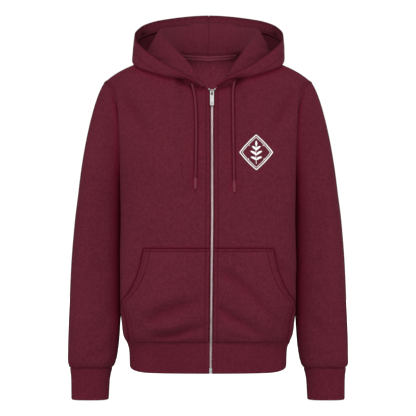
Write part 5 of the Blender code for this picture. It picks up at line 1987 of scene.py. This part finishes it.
def contact_shade(name, panel):
    """A thin painted shadow along what lies on a front, or is tucked in beside an armhole."""
    outer = panel["outer"]
    part, _, side = name.partition("_")
    if part == "sleeve":
        low = ramp(-outer[..., 2], 0.075, 0.03)
        return ARMHOLE_SHADE * low * bell(panel["distances"][3], ARMHOLE_LINE)
    if part != "front":
        return 0.0
    pocket = panels["pocket_" + side]["outer"]
    shade = beside(outer, cord_line(CORD_ROUTES[side], 120), *BESIDE_CORD)
    shade = np.maximum(shade, beside(outer, pocket[:, -1], *BESIDE_POCKET))
    shade = np.maximum(shade, beside(outer, pocket[-1], *OVER_POCKET))
    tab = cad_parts["pull_tab"]
    corners = np.array([tab.matrix_world @ Vector(corner) for corner in tab.bound_box])
    (left, _, foot), (right, _, top) = corners.min(axis=0), corners.max(axis=0)
    for x in (left, right):
        edge = np.linspace((x, 0, foot), (x, 0, top), 40)
        shade = np.maximum(shade, beside(outer, edge, *BESIDE_TAB))
    return CONTACT_SHARE * shade


cloth_tree = all_cloth()
for name, panel in panels.items():
    if panel["piece"].data.materials[0] is fleece:
        mean = set_hollow(cloth_tree, panel, contact_shade(name, panel))
        print(f"{name} hollow: {mean:.3f}")

# %% [markdown]
# ## How each piece is cut
# Each piece of cloth is listed with its flat size before sewing and how it is held, and printed
# beside the size measured on it. The body's pieces hang from the shoulders, the ribs are cut
# shorter than the cloth they gather, and the hood lies folded.

# %% Flat sizes of the cloth


def flat_size(panel):
    grid = panel["outer"]
    rows, columns = grid.shape[:2]
    width = max(lengths_along(grid[row])[-1] for row in range(0, rows, 5))
    length = max(lengths_along(grid[:, column])[-1] for column in range(0, columns, 5))
    cells = np.cross(grid[1:, 1:] - grid[:-1, :-1], grid[1:, :-1] - grid[:-1, 1:])
    return width, length, float(np.linalg.norm(cells, axis=-1).sum()) / 2


CUTS = {  # width and length in metres, flat area in square metres, and how the piece is held
    "front_right": ((0.330, 0.690), 0.172, "hung"),
    "front_left": ((0.320, 0.690), 0.162, "hung"),
    "back": ((0.565, 0.680), 0.335, "hung"),
    "sleeve_right": ((0.535, 0.640), 0.198, "hung"),
    "sleeve_left": ((0.535, 0.640), 0.198, "hung"),
    "hood_right": ((0.520, 0.625), 0.122, "folded"),
    "hood_left": ((0.510, 0.625), 0.120, "folded"),
    "pocket_right": ((0.215, 0.235), 0.038, "laid"),
    "pocket_left": ((0.200, 0.235), 0.035, "laid"),
    "neck_tape": ((0.158, 0.019), 0.003, "laid"),
    "zip_tape_right": ((0.013, 0.680), 0.0085, "hung"),
    "zip_tape_left": ((0.013, 0.680), 0.0085, "hung"),
    "hem": ((0.980, 0.068), 0.064, "stretched"),
    "cuff_right": ((0.250, 0.070), 0.0175, "stretched"),
    "cuff_left": ((0.250, 0.070), 0.0175, "stretched"),
}

for name, panel in {**panels, **bands}.items():
    flat, area, held = CUTS[name]
    print(name, "cut", flat, area, "measured", [round(value, 3) for value in flat_size(panel)])

# %% [markdown]
# ## Floor and light
# A shop picture has no dark corner. Wide soft lights stand in front of the garment, above,
# at both sides and behind it, a white surround lights everything a little, and a very small
# light brightens the inside of the neck. The floor just under the cuffs glows by itself.

# %% Floor and light
FLOOR_AT = -0.760
FLOOR_GLOW = 0.90
SURROUND_LIGHT = 0.46
SURROUND_SEEN = 1.05
AIM = (0, 0, -0.3)
LIGHTS = (  # name, place, width and height, watts
    ("behind", (0.6, 4.2, 0.5), (4.0, 2.0), 110),
    ("front", (0, -4.2, -0.1), (5.0, 1.6), 78),
    ("above", (-0.3, -3.5, 3.4), (2.2, 1.8), 88),
    ("right_side", (-3.6, -1.6, 0.1), (1.8, 2.2), 42),
    ("left_side", (3.6, -1.6, 0.1), (1.8, 2.2), 42),
)
NECK_LIGHT = ("inside_the_neck", (0.006, -0.05, -0.030), (0.06, 0.02), 0.05)
NECK_AIM = (0.006, 0.1, -0.078)
NECK_SPREAD = 75

bpy.ops.mesh.primitive_plane_add(size=60, location=(0, 0, FLOOR_AT))
floor = bpy.context.object
floor.name = "floor"
floor_material, floor_shader = new_material("white_floor", (0.5, 0.5, 0.5), 0.95)
floor_shader.inputs["Specular IOR Level"].default_value = 0.0
floor_shader.inputs["Emission Color"].default_value = (1, 1, 1, 1)
floor_shader.inputs["Emission Strength"].default_value = FLOOR_GLOW
floor.data.materials.append(floor_material)
floor.visible_diffuse = False
floor.visible_glossy = False

world = bpy.data.worlds.new("surround")
bpy.context.scene.world = world
world.use_nodes = True
nodes, links = world.node_tree.nodes, world.node_tree.links
surround = nodes["Background"]
surround.inputs["Color"].default_value = (1, 1, 1, 1)
rays = nodes.new("ShaderNodeLightPath")
bright = nodes.new("ShaderNodeMapRange")
bright.inputs["To Min"].default_value = SURROUND_LIGHT
bright.inputs["To Max"].default_value = SURROUND_SEEN
links.new(rays.outputs["Is Camera Ray"], bright.inputs["Value"])
links.new(bright.outputs["Result"], surround.inputs["Strength"])


def soft_light(name, place, size, power, aim=AIM):
    direction = Vector(aim) - Vector(place)
    bpy.ops.object.light_add(type="AREA", location=place)
    light = bpy.context.object
    light.name = name
    light.rotation_euler = direction.to_track_quat("-Z", "Y").to_euler()
    light.data.shape = "RECTANGLE"
    light.data.size, light.data.size_y = size
    light.data.energy = power
    return light


for settings in LIGHTS:
    soft_light(*settings)
neck_light = soft_light(*NECK_LIGHT, NECK_AIM)
neck_light.data.spread = math.radians(NECK_SPREAD)
neck_light.visible_camera = False
bpy.context.scene.view_settings.view_transform = "Standard"
